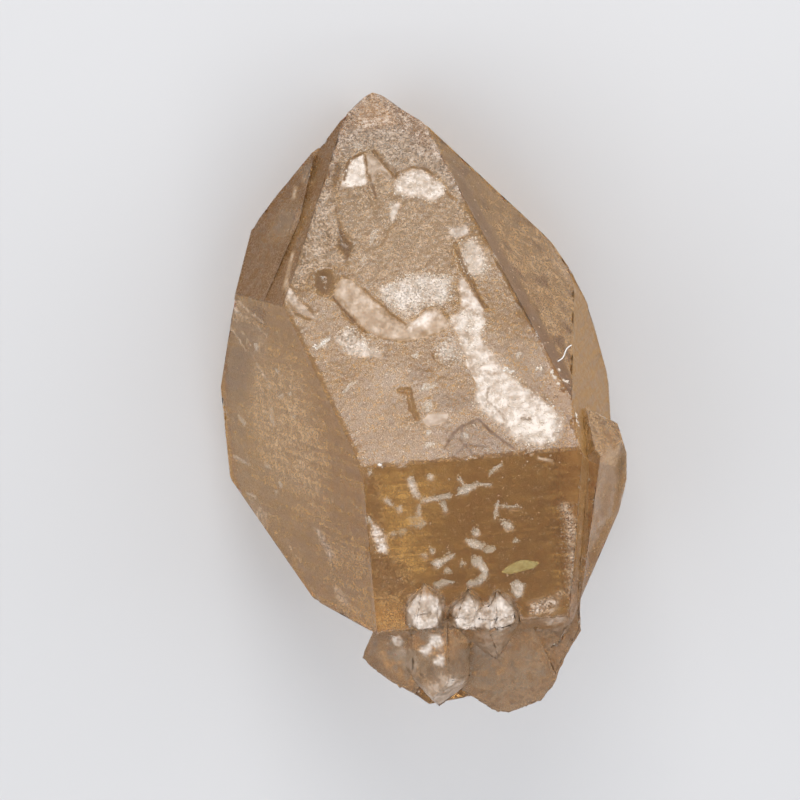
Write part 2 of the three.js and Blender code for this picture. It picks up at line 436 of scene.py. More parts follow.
PITS = (1.1, 0.07, 6)
GRAIN = (0.55, 0.04, 7)


def tip_depth(uv):
    """How deep the etched tip face lies below its flat, in mm, at each place (u, v) on it."""
    wander = stray(uv, PLATE_LUMPS)
    spots = uv + PLATE_STRAY * wander + stray(uv, RAGGED)
    depth = TIP_LEVEL + swell(uv, ROLLING)
    upper = rise(uv[:, 1] + UPPER_SLANT * uv[:, 0], UPPER_START, UPPER_END)
    depth = depth * (1 - upper) + UPPER_LEVEL * upper
    for outline, level, width in PLATES:
        share = rise_over(signed_distance(outline, spots), PLATE_EDGE, width)
        depth = depth * (1 - share) + level * share
        if outline is BASIN:
            depth -= BASIN_RISE * share * (1 - rise(uv[:, 1], BASIN_LOW, BASIN_HIGH))
    strip = rise(signed_distance(LEFT_STRIP, spots), 0, 1)
    line = (uv[:, 0] * SAW_SLANT[0] + uv[:, 1] * SAW_SLANT[1]) / SAW_STEP + SAW_STRAY * wander[:, 0]
    depth += strip * (SAW_DEPTH * (line - np.floor(line)) - SAW_LIFT)
    for path, half, deep in GROOVES:
        depth += deep * (1 - rise_over(near_path(path, spots), GROOVE_EDGE, half))
    for (cu, cv), radius in RINGS:
        away = np.hypot(spots[:, 0] - cu, spots[:, 1] - cv)
        waves = RING_DEPTH * np.cos(away * 2 * math.pi / RING_STEP) - RING_LIFT
        depth += waves * (1 - rise_over(away, RING_EDGE, radius))
    return np.maximum(depth + np.abs(swell(uv, PITS)) + swell(uv, GRAIN), 0)


def off_edge(name):
    """The points of a face that don't lie on its edges."""
    return members[name][margin[members[name]] > 0]


def tip_uv(places):
    """Places in space as places (u, v) on the tip face."""
    return np.stack([places[:, 0], places @ np.array(TIP_UP)], -1)


sunk = np.zeros(len(points))
tip = members["tip"]
sunk[tip] = tip_depth(tip_uv(at[tip])) * rise(margin[tip], *TIP_RIM)

# Breaks curve inwards like shells, with ripples round the place where they were struck.
STRUCK = Vector((2, -42, -8))
SHELL = (13, 1.1, 1)
SMALL_SHELL = (4.5, 0.35, 2)
RIPPLE_HEIGHT = 0.07
RIPPLE_STEP = 1.9
SHELL_EDGE = 3  # mm from the rim to its full depth
broken = off_edge("broken")
dish = np.abs(swell(at[broken], SHELL)) + np.abs(swell(at[broken], SMALL_SHELL))
struck_away = np.linalg.norm(at[broken] - np.array(STRUCK), axis=1)
ripple = RIPPLE_HEIGHT * np.sin(struck_away * 2 * math.pi / RIPPLE_STEP)
sunk[broken] = (dish + ripple + RIPPLE_HEIGHT) * rise(margin[broken], 0, SHELL_EDGE)

# The prism faces are not quite flat: low steps run across them, square to the axis.
STEP_HEIGHTS = {
    "left": 0.16, "front": 0.03, "right": 0.12, "back_left": 0.15, "back_right": 0.15,
    "side_crystal": 0.12, "right_taper": 0.12, "left_taper": 0.14, "side_edge": 0.1,
}
STEPS = (1.5, 1, 8)
STEP_STRETCH = (0.06, 1, 0.06)
BROAD_STEPS = (4, 0.6, 9)
BROAD_STRETCH = (0.1, 1, 0.1)
STEP_RIM = 1.2
for name, height in STEP_HEIGHTS.items():
    own = off_edge(name)
    steps = swell(at[own] * STEP_STRETCH, STEPS) + swell(at[own] * BROAD_STRETCH, BROAD_STEPS)
    sunk[own] = height * (1 + steps) * rise(margin[own], 0, STEP_RIM)

# The smaller tip faces and the small points are etched all over; the left shoulder is rougher still.
ETCH_DEPTH = 0.14
ETCH_RIM = 0.8
ETCH_LUMPS = (2.2, 0.14, 10)
ETCH_GRAIN = (0.9, 0.05, 11)
ROUGH_LUMPS = (2.6, 0.3, 28)
ROUGH_GRAIN = (1.1, 0.12, 29)
SHOULDER_FACES = ("left_tip", "layer")
for name in (*SHOULDER_FACES, "right_tip", "back_left_tip", "back_right_tip", "foot"):
    own = off_edge(name)
    relief = ETCH_DEPTH + swell(at[own], ETCH_LUMPS) + swell(at[own], ETCH_GRAIN)
    if name in SHOULDER_FACES:
        relief += np.abs(swell(at[own], ROUGH_LUMPS)) + np.abs(swell(at[own], ROUGH_GRAIN))
    sunk[own] = relief * rise(margin[own], 0, ETCH_RIM)

# Sharp edges are nicked here and there: size and seed, how much of the edge is spared, depth.
NICKS = [(2.3, 12, 0.12, 0.9), (0.9, 13, 0.2, 0.4)]
NICKED_BAND = 1.3
NICK_FADE = 1.5
edge_zone = np.where(margin < NICKED_BAND)[0]
nick = np.zeros(len(edge_zone))
for size, seed, spared, deep in NICKS:
    nick += np.maximum(lumps(at[edge_zone], size, seed) - spared, 0) * deep
sunk[edge_zone] += nick * (1 - margin[edge_zone] / NICKED_BAND) ** NICK_FADE

# The corner where the right tip face ends is worn round.
WORN_CORNER = (45.5, 25.7, -45.7)
WORN_DEPTH = 1.5
WORN_REACH = 9
sunk += WORN_DEPTH * (1 - rise(np.linalg.norm(at - np.array(WORN_CORNER), axis=1), 0, WORN_REACH))
# The small points at the foot have partly dissolved, so their edges are round.
FOOT_ROUNDING = 0.55
ROUNDING_REACH = 2
foot = members["foot"]
sunk[foot] += FOOT_ROUNDING * np.clip(1 - np.array(ridge_away)[foot] / ROUNDING_REACH, 0, 1) ** 2
sunk[off_edge("rest")] = 0

surface = at - out * sunk[:, None]
crystal_mesh = bpy.data.meshes.new("crystal")
crystal_mesh.from_pydata([place(*p) for p in surface], [], triangles)
crystal = show("citrine", crystal_mesh)
crystal_mesh.polygons.foreach_set("use_smooth", [True] * len(triangles))
facets_beside = defaultdict(set)
for corners, facet in zip(triangles, facet_of):
    for a, b in zip(corners, corners[1:] + corners[:1]):
        facets_beside[min(a, b), max(a, b)].add(facet)
SHARP = math.cos(math.radians(9))
sharp = []
for key in crystal_mesh.edge_keys:
    beside = list(facets_beside[key])
    meets = len(beside) == 2 and normals[beside[0]].dot(normals[beside[1]]) < SHARP
    rounded = all(names[f] == "foot" for f in beside) and ridge_away[key[0]] == 0
    sharp.append(meets and not rounded)
crystal_mesh.attributes.new("sharp_edge", "BOOLEAN", "EDGE").data.foreach_set("value", sharp)


# Citrine is clear quartz coloured by traces of iron. Thick clear parts look deep honey brown; the etched
# skin scatters light, so it looks paler, matt and grainy; bubbles just under it look milky.
# face: how much of the skin is etched, how grainy that is, how milky
SKINS = {
    "tip": (0.27, 0.85, 0.05), "front": (0.12, 0.3, 0), "left": (0.24, 0.6, 0), "right": (0.7, 0.4, 0),
    "left_tip": (0.75, 0.8, 0), "right_tip": (0.2, 0.9, 0), "layer": (0.75, 0.8, 0), "foot": (0.5, 0.3, 0.2),
    "broken": (0.24, 0.6, 0.05), "side_crystal": (0.6, 0.4, 0), "side_edge": (0.6, 0.4, 0),
    "right_taper": (0.65, 0.3, 0), "left_taper": (0.14, 0.8, 0), "back_left": (0.6, 0.6, 0),
    "back_right": (0.85, 0.4, 0), "back_left_tip": (0.6, 0.8, 0), "back_right_tip": (0.6, 0.8, 0),
    "back_tip": (0.6, 0.8, 0), "rest": (0.15, 0.5, 0), "block": (0.62, 0.4, 0.2),
}
ETCHED, MILKY, STAIN_AND_SHADE = 0, 2, 3  # columns of the skin; the grain is column 1
skin = np.zeros((len(points), 4))
for name, amounts in SKINS.items():
    skin[members[name]] = np.maximum(skin[members[name]], (*amounts, 0))
skin[members["front"]] = (*SKINS["front"], 0)

PALE_FIELD = [(22, 45.5), (25, 46.5), (27, 43), (27.2, 39), (25.5, 37), (22.5, 38), (21.5, 42)]
GRAINY_FIELD = [
    (6, 37), (8.5, 38), (10, 39), (15, 39.5), (20, 38), (19.5, 33.5), (17.5, 31.5), (16, 33), (12.5, 31),
    (10.5, 30.5), (8.5, 32.5), (6.5, 34.5),
]
RING_PATCH = [
    (-3.2, 27.5), (-1.5, 29.3), (1, 29), (2.3, 26.8), (4.5, 24.5), (5.2, 23), (3, 23), (-0.5, 23.5),
    (-2.5, 25.5),
]
ROUND_PATCH = [(15, 22), (16, 24.5), (19, 25), (20.5, 23), (20, 20.5), (17, 19.5), (15.3, 20.3)]
CREAM_FLAKE = [(11.5, 9), (13, 10), (15, 10), (17, 9.8), (16.5, 8.3), (15, 7.5), (12.5, 7.3)]
WHITE_CORNER = [(20, 49), (24, 49.5), (24.3, 47), (21.5, 46), (20, 47)]
# painted highlight: the tongue's shine at its right end, drawn as white milky skin
TONGUE_PAINTED_HIGHLIGHT = [(10.5, 28.6), (12.5, 29.6), (14.5, 31.3), (16.3, 31.6), (17, 30), (14, 28), (11, 27.2)]
LOBE_END = [(29, 8), (31, 9.5), (34, 9), (36.5, 7), (37, 4), (35, 2.2), (31, 2.4), (28.8, 4.5)]
LOBE_TOP = [(21.5, 30), (24.5, 30), (24.8, 27.5), (23.8, 24.5), (22, 25)]
UPPER_PLATE = [
    (-2, 62), (0.5, 63), (3, 67), (5, 67.8), (7.2, 67.8), (10.6, 61.4), (14, 63.2), (18, 61.4),
    (20.5, 58.6), (23, 54), (30, 54), (12, 90), (0, 90),
]
BROWN_CORNER = [(14.5, 8), (16, 0), (28.5, 0), (25, 5), (22, 8.3), (18, 7.2)]
WHITE_RIDGE = [
    (21.5, 39), (23, 36), (25.5, 31), (25, 27.5), (22.7, 23.5), (20.3, 24), (19.5, 28), (20.8, 31.5),
    (20.7, 36),
]
TROUGH = [
    (-1.4, 55.7), (-0.5, 55.9), (-0.6, 52.5), (0.4, 49.5), (1.5, 47), (0.8, 44), (-0.6, 42), (-0.3, 45),
    (-0.9, 49),
]
BROWN_LEFT = [(-1.2, 65), (0.4, 66), (0.8, 63.5), (0, 60), (-1.8, 59)]
BROWN_MIDDLE = [(10.5, 21), (14.8, 20.2), (15.3, 17.7), (13, 17), (9.3, 17.4)]
BROWN_LOW = [(16, 14), (21, 14), (22.5, 11), (18.5, 9.7), (14.8, 11)]
WHITE_CHIP = [(9.1, 52.8), (10.1, 55.2), (11.6, 55.5), (10.7, 53.2), (9.5, 51.2)]
# Paint on a face: outline in mm on it, (etched, grainy, milky, stained), softness of its edge.
TIP_PAINT = [
    ([(27, 22), (31, 22), (38.5, 6), (38.5, 0), (34, 0), (34, 10)], (0.42, 0.8, 0, 0.3), 2.0),
    (UPPER_PLATE, (0.36, 1.0, 0.5, 0.2), 1.0), (BASIN, (0.3, 0.7, 0.25, 0), 1.0),
    (LEFT_STRIP, (0.34, 0.9, 0.4, 0), 0.8), (BROWN_CORNER, (0.3, 1.0, 0.1, 0.45), 1.5),
    (TONGUE, (0.55, 0.2, 0.45, 0), 0.6), (TONGUE_PAINTED_HIGHLIGHT, (0.8, 0.1, 1.0, 0), 1.8),
    (LEFT_ARCH, (0.72, 0.3, 0.95, 0), 0.3), (RIGHT_ARCH, (0.66, 0.4, 0.85, 0), 0.8),
    (ARCH_RIB, (0.5, 0.2, 0.5, 0.1), 0.3), (MILKY_LOBE, (0.68, 0.3, 0.85, 0), 1.0),
    (WHITE_RIDGE, (0.6, 0.4, 0.8, 0), 0.8), (LOBE_END, (0.78, 0.25, 1.0, 0), 2.0),
    (LOBE_TOP, (0.82, 0.5, 1.0, 0), 1.5), (PALE_FIELD, (0.5, 0.6, 0.7, 0), 1.6),
    (GRAINY_FIELD, (0.52, 1.0, 0.9, 0), 1.6), (RING_PATCH, (0.46, 0.9, 0.7, 0), 1.3),
    (ROUND_PATCH, (0.46, 0.9, 0.7, 0), 1.6), (CREAM_FLAKE, (0.6, 0.3, 0.7, 0), 0.4),
    (WHITE_CORNER, (0.5, 0.6, 0.8, 0), 0.8), (LEFT_RIDGE, (0.5, 0.5, 0.6, 0), 0.7),
    (TROUGH, (0.5, 0.8, 0, 0.85), 0.5), (BROWN_LEFT, (0.45, 1.0, 0, 0.7), 0.8),
    (BROWN_MIDDLE, (0.3, 0.9, 0, 0.5), 0.9), (BROWN_LOW, (0.35, 0.9, 0.1, 0.5), 0.9),
    (WHITE_CHIP, (0.6, 0.4, 0.9, 0), 0.4), (OVAL_HOLLOW, (0.1, 0.5, 0, 0.4), 0.7),
    (SMALL_HOLLOW, (0.3, 0.6, 0, 0.9), 0.7),
]
LEFT_PAINT = [
    ([(-44, 18), (-20, 18), (-12, 2), (-16, -14), (-40, -10), (-47, 4)], (0.42, 0.9, 0.15, 0), 7),
    ([(-31, 25.5), (-33, 22.5), (-37, 21.5), (-41, 23), (-40, 26), (-35, 27)], (0.4, 1.0, 0, 0.75), 1.5),
    ([(-43, 27), (-33, 21), (-34, 15), (-44, 15), (-51, 22), (-49, 27)], (0.24, 0.8, 0.15, 0), 2.5),
    ([(-42, 24), (-54, 12), (-54, 4), (-44, 5), (-40, 14), (-38, 20)], (0.16, 0.7, 0, 0.35), 4),
    ([(0, -14), (-20, -14), (-22, -20), (-14, -33), (0, -33)], (0.36, 0.9, 0.05, 0.1), 4),
    ([(-16, -26), (-10, -26), (-10, -29), (-15, -29)], (0.35, 0.9, 0.3, 0), 1.5),
    ([(-22, -15), (-19, -15), (-14, -19.5), (-16, -21.5), (-20, -18)], (0.34, 1.0, 0.5, 0), 1.5),
    ([(-40, -16), (-50, -14), (-52, -19), (-42, -21)], (0.3, 0.8, 0.3, 0), 2),
]
# growth lines and scratches on the left face, with a painted highlight: pale where they catch the light
LEFT_LINES = [
    ([(-48.2, 26.9), (-34.4, 23.1)], 0.2, (0.45, 0.3, 0.4, 0)),
    ([(-46.5, 24.6), (-33, 20.4)], 0.15, (0.45, 0.3, 0.4, 0)),
    ([(-51.1, 21.9), (-42.8, 16.1)], 0.2, (0.4, 0.3, 0.4, 0)),
    ([(-47, 22), (-38, 15.5)], 0.12, (0.4, 0.3, 0.4, 0)),
    ([(-43, 18), (-36, 12)], 0.15, (0.45, 0.3, 0.4, 0)),
    ([(-40, 15), (-34, 10)], 0.12, (0.45, 0.3, 0.4, 0)),
    ([(-53.7, -7.3), (-47.6, -8.1)], 0.15, (0.4, 0.3, 0.3, 0)),
    ([(-33, -22), (-27, -25)], 0.15, (0.4, 0.3, 0.3, 0)),
]
SHOULDER_PAINT = [
    ([(-18.5, 27.5), (-16, 28.7), (-13, 26.3), (-14, 25), (-17, 25.5)], (0.45, 0.5, 0.3, 0), 0.7),
    ([(-19, 24.5), (-17, 23.8), (-15.8, 21.5), (-17.5, 21)], (0.5, 0.5, 0.4, 0), 0.7),
    ([(-24.8, 24.6), (-23.6, 24.2), (-24, 23)], (0.6, 0.5, 0.7, 0), 0.4),
    ([(-22, 29.5), (-15, 29.5), (-12.5, 25), (-14, 24.6), (-17, 26), (-20, 27)], (0.25, 0.9, 0.1, 0.5), 1.2),
    ([(-8, 11.5), (-6.5, 11), (-3, 5), (-0.5, 3.5), (-1.5, 2.5), (-4, 3.5)], (0.45, 0.5, 0.35, 0), 0.5),
    ([(-11, 18), (-10, 17.3), (-9.3, 15.6), (-10.3, 16)], (0.6, 0.5, 0.6, 0), 0.4),
    ([(-9, 15), (-6, 14.5), (-5, 12), (-7.5, 11)], (0.3, 1.0, 0, 0.8), 1.2),
    ([(-20, 20), (-8, 22), (-8, 13), (-20, 12)], (0.08, 0.9, 0, 0.4), 4),
]


def ribbon(path, width):
    """The outline of a rod: the path widened to both sides, pointed at its ends."""
    path = [np.array(p, float) for p in path]
    left, right = [], []
    for i, p in enumerate(path):
        run = path[min(i + 1, len(path) - 1)] - path[max(i - 1, 0)]
        side = np.array([-run[1], run[0]]) / np.hypot(*run) * width / 2
        left.append(tuple(p + side))
        right.append(tuple(p - side))
    start = tuple(path[0] - (path[1] - path[0]) / np.linalg.norm(path[1] - path[0]) * width / 2)
    end = tuple(path[-1] + (path[-1] - path[-2]) / np.linalg.norm(path[-1] - path[-2]) * width / 2)
    return [start] + right + [end] + left[::-1]


DISC_SIDES = 8
DISC_SQUASH = 0.85


def disc(u, v, radius):
    """The outline of a round flake, a little squashed."""
    turns = np.linspace(0, 2 * math.pi, DISC_SIDES + 1)[:-1]
    return [(u + radius * math.cos(turn), v + radius * math.sin(turn) * DISC_SQUASH) for turn in turns]


# The white flakes behind the front face. The skin over the shallow ones is cloudy too.
# outline on the front face in mm, and how deep it floats
# outline on the front face in mm, and how deep it floats
FLAKES = [
    (ribbon([(8.7, -2.9), (9.1, -4.5), (9.5, -6)], 1.2), 1.6),
    (ribbon([(10.5, -7), (13, -7), (15.4, -6.7)], 0.7), 1.8),
    (ribbon([(9.9, -8), (9.5, -9.7)], 0.5), 1.8), (ribbon([(14.2, -8), (14.6, -9.6)], 0.7), 2.2),
    (ribbon([(3.8, -6.2), (4.8, -7.3)], 0.6), 0.9), (disc(6.1, -8.3, 0.55), 1.5),
    (disc(12.3, -2.9, 0.6), 2.6), ([(7.5, -10.5), (9.5, -10.3), (11, -12), (10, -12.8), (8, -12)], 3.2),
    (disc(6.3, -13.2, 0.8), 3.5),
    ([(17, -6.8), (17.5, -5.5), (18.5, -5), (21, -4.8), (20, -5.6), (18.5, -6.5)], 1.4),
    (ribbon([(20.5, -5), (23.3, -5.2)], 0.25), 1.6), (ribbon([(17.6, -3.4), (18.3, -5)], 0.4), 1.5),
    (ribbon([(23, -3.5), (25.5, -1.8)], 0.4), 2.6), (ribbon([(24.2, -8.8), (23.5, -11.8)], 0.35), 1.6),
    (ribbon([(24, -9.3), (28, -10.2)], 0.25), 2.4),
    ([(24.6, -12.6), (26.3, -12.9), (26.6, -14), (25.2, -14.1)], 2.6),
    ([(17.7, -15.2), (19.5, -15.5), (21, -16.5), (20.5, -17.5), (18.5, -16.6)], 1.6),
    (disc(19.8, -14.2, 0.8), 2.8), (disc(22, -18.2, 1.0), 4.2), (disc(19.6, -19.8, 1.1), 2.2),
    (ribbon([(20.3, -20.6), (21, -22)], 1.3), 2.3), (ribbon([(20.8, -22.5), (19.8, -23.6)], 1.3), 2.2),
    (ribbon([(19.4, -23.8), (17.8, -23.9)], 0.9), 2.4), (disc(16.8, -19.8, 0.5), 1.8),
    (ribbon([(15, -18.2), (13, -19), (12.2, -19.8)], 0.8), 1.7), (disc(12.2, -19.3, 0.95), 1.7),
    (ribbon([(11.2, -16.6), (11.6, -17.5)], 0.45), 1.9), (disc(14, -21.3, 0.8), 3.0),
    ([(11.5, -24.3), (13.5, -23.6), (15, -23.5), (13, -22.8), (11.2, -23.3)], 2.4),
    ([(25.6, -24.2), (27, -24), (27.8, -24.8), (27.2, -27), (26.3, -27.3), (25.5, -26)], 1.2),
    (disc(4.6, -13, 0.4), 2.5), (disc(27, -16.8, 0.5), 3.8),
    (ribbon([(9.5, -17.6), (10.3, -17.7)], 0.4), 2.8), (disc(1.4, -0.8, 0.35), 0.8),
    (ribbon([(0.5, -9.3), (0.9, -10.6)], 0.5), 0.8),
]
FRONT_PAINT = [
    ([(0, 0), (16, 0), (13, -14), (9, -30), (0, -32)], (0.45, 0.25, 0, 0), 6),
    ([(33, 2), (40, 2), (40, -30), (33, -30)], (0.35, 0.5, 0, 0.5), 3),
    ([(35.3, -9), (38, -10), (38.5, -15), (38, -28), (35.5, -28), (36.3, -18)], (0.4, 1.0, 0.45, 0), 1.2),
    ([(0, 0), (3, 0), (3.6, -12), (5, -30), (0, -32)], (0.14, 0.9, 0.05, 0), 1.5),
    ([(0.4, -10.5), (2.2, -10.8), (3.4, -13.5), (3.5, -16.6), (1.6, -16.4), (0.7, -13)],
     (0.75, 0.7, 0.9, 0), 0.8),
    ([(0, -16), (5, -17), (8, -22), (8, -32), (0, -32)], (0.14, 1.0, 0.1, 0), 3),
    ([(28, -28), (33, -27), (36, -26), (33, -31), (28, -31)], (0.4, 1.0, 0.5, 0.1), 1.0),
    ([(0, -24), (7, -24), (8, -33), (0, -33)], (0.4, 0.9, 0.05, 0.25), 2),
]
# path, half width, (etched, grainy, milky, stained and painted shade). The dark lines along the edges of the
# arches, the rib, the basin, the tongue and the ridge are painted shade, where those edges turn from the
# light;
# the brown lines low on the face are cracks.
TIP_LINES = [
    ([(6.2, 60.3), (6.5, 58.5), (6.7, 57)], 0.2, (0.6, 0, 0, 1)),
    ([(5.4, 66.5), (5.5, 63), (6.2, 60.5)], 0.12, (0.6, 0, 0, 0.8)),
    ([(21, 20), (23.3, 13.4), (25.9, 9.4), (28.6, 6.3)], 0.12, (0.8, 0, 1, 0)),
    ([(0.3, 59.4), (3, 59.8), (5.4, 59.5)], 0.12, (0.5, 0, 0, 0.7)),
    ([(-6.5, 31.5), (-4, 27.5), (-2.5, 26)], 0.14, (0.5, 0, 0, 0.8)),
    ([(15.5, 3), (17, 5.5), (19, 7), (22, 8), (24.5, 5), (28, 1.5)], 0.22, (0.6, 0, 0, 1)),
    ([(16.5, 1), (19.5, 3.2), (23, 2.5)], 0.15, (0.5, 0, 0, 1)),
    ([(19, 7), (18.5, 4), (20.5, 1)], 0.15, (0.5, 0, 0, 1)),
    ([(24.5, 14), (24, 12), (26, 9), (27, 7)], 0.06, (0.5, 0, 0.3, 0.5)),
    ([(30, 7.3), (31.5, 7)], 0.2, (0.5, 0, 0.2, 0.6)),
    # painted shade along the top edges of the arches
    ([(0.8, 61.5), (1.8, 64.8), (3.2, 66.4), (5, 67.2)], 0.2, (0.6, 0, 0, 0.8)),
    ([(7.2, 67.4), (8.8, 64.6), (10.8, 61.3), (12, 62.3), (14, 63), (16.5, 62.7), (18.6, 60.7)], 0.16,
     (0.6, 0, 0, 0.8)),
    # painted shade along the tongue's edges and along the ridge
    ([(3.2, 37.2), (5, 34.7), (8, 31.2), (10.4, 28.8)], 0.14, (0.6, 0, 0, 0.7)),
    ([(-3, 36), (-1, 33), (0.8, 30.4)], 0.2, (0.6, 0, 0, 1)),
    ([(24, 34), (25.4, 31)], 0.25, (0.6, 0, 0, 0.8)),
    ([(21.2, 44), (22.5, 39), (24.3, 33.5)], 0.2, (0.5, 0, 0, 0.8)),
]
TIP_SMEARS = [([(-2.5, 27), (0.2, 24.2), (4.8, 23)], 0.8, (0.5, 0.8, 0.6, 0))]


def on_face(places, origin, right, up):
    """Places in mm along a face: to the right of, and up from, its origin."""
    rel = places - np.array(origin)
    return np.stack([rel @ np.array(right), rel @ np.array(up)], -1)


PAINT_STRAYS = [(1.9, 0.45, 15), (0.7, 0.35, 17)]
LINE_STRAY = 0.35  # lines stray less than regions
SHARP_STRAY = 0.8  # a region strays less as its edge gets sharper
LINE_FADE = 0.1
REGION_EDGE = (-0.5, 1.1)
LINE_EDGE = (0.5, 1.5)


def paint(own, uv, regions, lines=()):
    """Lays the painted regions, then the lines, over the skin of one face."""
    wander = sum(stray(at[own], layer) for layer in PAINT_STRAYS)
    for outline, amounts, soft in regions:
        strayed = uv + wander * min(1, SHARP_STRAY * soft)
        share = rise_over(signed_distance(outline, strayed), REGION_EDGE, soft)[:, None]
        skin[own] = skin[own] * (1 - share) + np.array(amounts) * share
    for path, half, amounts in lines:
        away = near_path(path, uv + LINE_STRAY * wander)
        share = 1 - rise(away, LINE_EDGE[0] * half, LINE_EDGE[1] * half + LINE_FADE)[:, None]
        skin[own] = skin[own] * (1 - share) + np.array(amounts) * share


LEFT_RIGHTWARD = Vector((0.5, 0, math.sqrt(3) / 2))
LEFT_FACE = ((0, 0, 0), LEFT_RIGHTWARD, (0, 1, 0))
SHOULDER = ((-12.48, 27.57, -21.76), LEFT_RIGHTWARD, (0.5356, 0.7858, -0.3093))
uv = tip_uv(at[tip])
paint(tip, uv, TIP_PAINT, TIP_LINES + TIP_SMEARS)
left = members["left"]
paint(left, on_face(at[left], *LEFT_FACE), LEFT_PAINT, LEFT_LINES)
SHALLOW = 3
CLOUDY_SKIN = (0.45, 0.5, 0.9, 0)
CLOUDY_EDGE = 0.9
FRONT_PAINT += [(outline, CLOUDY_SKIN, CLOUDY_EDGE) for outline, depth in FLAKES if depth < SHALLOW]
CRACK = [([(28, 1.5), (31.5, -0.3), (35, -2)], 0.12, (0.7, 0, 0.5, 0))]
front = members["front"]
front_xy = at[front][:, :2]
paint(front, front_xy, FRONT_PAINT, CRACK)

# How brown the skin of each side is.
SHOULDER_STAIN = 0.8
SIDE_STAINS = {
    "right_taper": 0.3, "block": 0.5, "right": 0.3, "side_crystal": 0.4, "side_edge": 0.3, "back_right": 0.5,
}
for name in SHOULDER_FACES:
    skin[members[name], STAIN_AND_SHADE] = SHOULDER_STAIN
    paint(members[name], on_face(at[members[name]], *SHOULDER), SHOULDER_PAINT)

# The right tip face is etched and stained low down, and clear in a band beside the great tip face.
ETCH_FADE = (30, 46)  # mm up the axis
ETCH_SWAY = (6, 4, 31)
ETCH_PATCHES = (2.4, 0.5, 32)
ETCH_MEAN = 0.75
STAIN_LUMP = 3.2
STAIN_SEED = 33
STAIN_EDGE = (0.2, 0.6)
STAIN_AMOUNT = 0.7
BAND_ETCHED = 0.24
BAND_MILKY = 0.15
BAND_STAINED = 0.15
CLEAR_BAND = (2.2, 3.2)  # mm below the great tip face, from clear to etched
CLEAR_END = (44, 50)  # mm up the axis
CLEARED = 0.9
band = members["right_tip"]
below_tip = -at[band] @ np.array(direction(0, TIP_RISE))
etched_low = 1 - rise(at[band][:, 1] + swell(at[band], ETCH_SWAY), *ETCH_FADE)
etching = etched_low * (ETCH_MEAN + swell(at[band], ETCH_PATCHES))
stains = rise(lumps(at[band], STAIN_LUMP, STAIN_SEED), *STAIN_EDGE)
skin[band, ETCHED] += BAND_ETCHED * etching
skin[band, MILKY] += BAND_MILKY * etching
skin[band, STAIN_AND_SHADE] += BAND_STAINED * etching + STAIN_AMOUNT * stains
smooth = (1 - rise(below_tip, *CLEAR_BAND)) * (1 - rise(at[band][:, 1], *CLEAR_END))
skin[band] *= 1 - CLEARED * smooth[:, None]
for name, amount in SIDE_STAINS.items():
    skin[members[name], STAIN_AND_SHADE] = amount

# The low front of the foot is etched, milky and stained, with round white places.
LOW_FRONT_SKIN = (0.5, 0.5, 0.2, 0.6)
LOW_FRONT_Z = (-26, -10)
LOW_FRONT_DOWN = (20, 27)
foot = np.concatenate([members["foot"], members["broken"], members["block"]])
low_front = rise(at[foot][:, 2], *LOW_FRONT_Z) * rise(-at[foot][:, 1], *LOW_FRONT_DOWN)
skin[foot] = np.maximum(skin[foot], np.array(LOW_FRONT_SKIN) * low_front[:, None])
# x, y, radius, strength
FOOT_WHITE = [
    (9.2, -27.6, 3.6, 1), (17, -28.8, 3.2, 1), (22.8, -29.2, 3.1, 1), (10.8, -34, 1.6, 1),
    (8.7, -35.6, 1.2, 1), (3.7, -34.3, 1.2, 1), (11, -37.5, 1.2, 1), (12.5, -42, 1.0, 1),
    (11.5, -44.5, 4.5, 0.5), (21, -36, 4, 0.25), (33, -31.5, 2.5, 0.45), (5, -38, 2.2, 0.3),
]
FOOT_STRAY = (1.2, 0.6, 25)
WHITE_SKIN = (0.62, 0.35, 0.85, 0)
WHITE_FRONT = -13
WHITE_EDGE = (0.75, 1.15)
foot_strayed = at[foot][:, :2] + stray(at[foot], FOOT_STRAY)
for x, y, radius, strength in FOOT_WHITE:
    near = 1 - rise_over(np.hypot(*(foot_strayed - (x, y)).T), WHITE_EDGE, radius)[:, None]
    near = near * (at[foot][:, 2:] > WHITE_FRONT) * strength
    skin[foot] = skin[foot] * (1 - near) + np.array(WHITE_SKIN) * near

LINED_FACES = (
    "front", "left", "right", "back_left", "back_right", "side_crystal", "right_taper", "left_taper",
)
lined = np.zeros(len(points))
for name in LINED_FACES:
    lined[members[name]] = 1
for name, values in zip(("etched", "grainy", "milky", "stain_and_painted_shade", "lined"), (*skin.T, lined)):
    crystal_mesh.attributes.new(name, "FLOAT", "POINT").data.foreach_set("value", values.copy())

# The skin's finest relief is drawn in colour and in a bump.
HILLOCK = 0.27  # mm across, one etch hillock, drawn as coarse as it needs to be to show
CLOUD = 1.9  # mm across, one cloud of bubbles
LINE_STEP = 0.8  # mm between growth lines
BUMP_HEIGHT = 0.05
QUARTZ_IOR = 1.544
# The clear quartz shows its honey-brown depth; its etched skin is matt and tan, white where it is milky and
# where a highlight is painted on the tip face, and dark brown where it is stained and where shade is painted.
quartz, tree = new_material("citrine quartz, grown and etched")
coordinates = add(tree, "ShaderNodeTexCoord")
etched = add(tree, "ShaderNodeAttribute", attribute_name="etched")
grainy = add(tree, "ShaderNodeAttribute", attribute_name="grainy")
milky = add(tree, "ShaderNodeAttribute", attribute_name="milky")
lines_on = add(tree, "ShaderNodeAttribute", attribute_name="lined")
where = coordinates.outputs["Object"]
hillocks = add(tree, "ShaderNodeTexNoise", {
    "Vector": where, "Scale": 1 / (HILLOCK * MM), "Detail": 3, "Roughness": 0.6,
})
cells = add(tree, "ShaderNodeTexVoronoi", {"Vector": where, "Scale": 1 / (HILLOCK * MM)})
cell_tone = add(tree, "ShaderNodeSeparateColor", {0: cells.outputs["Color"]})
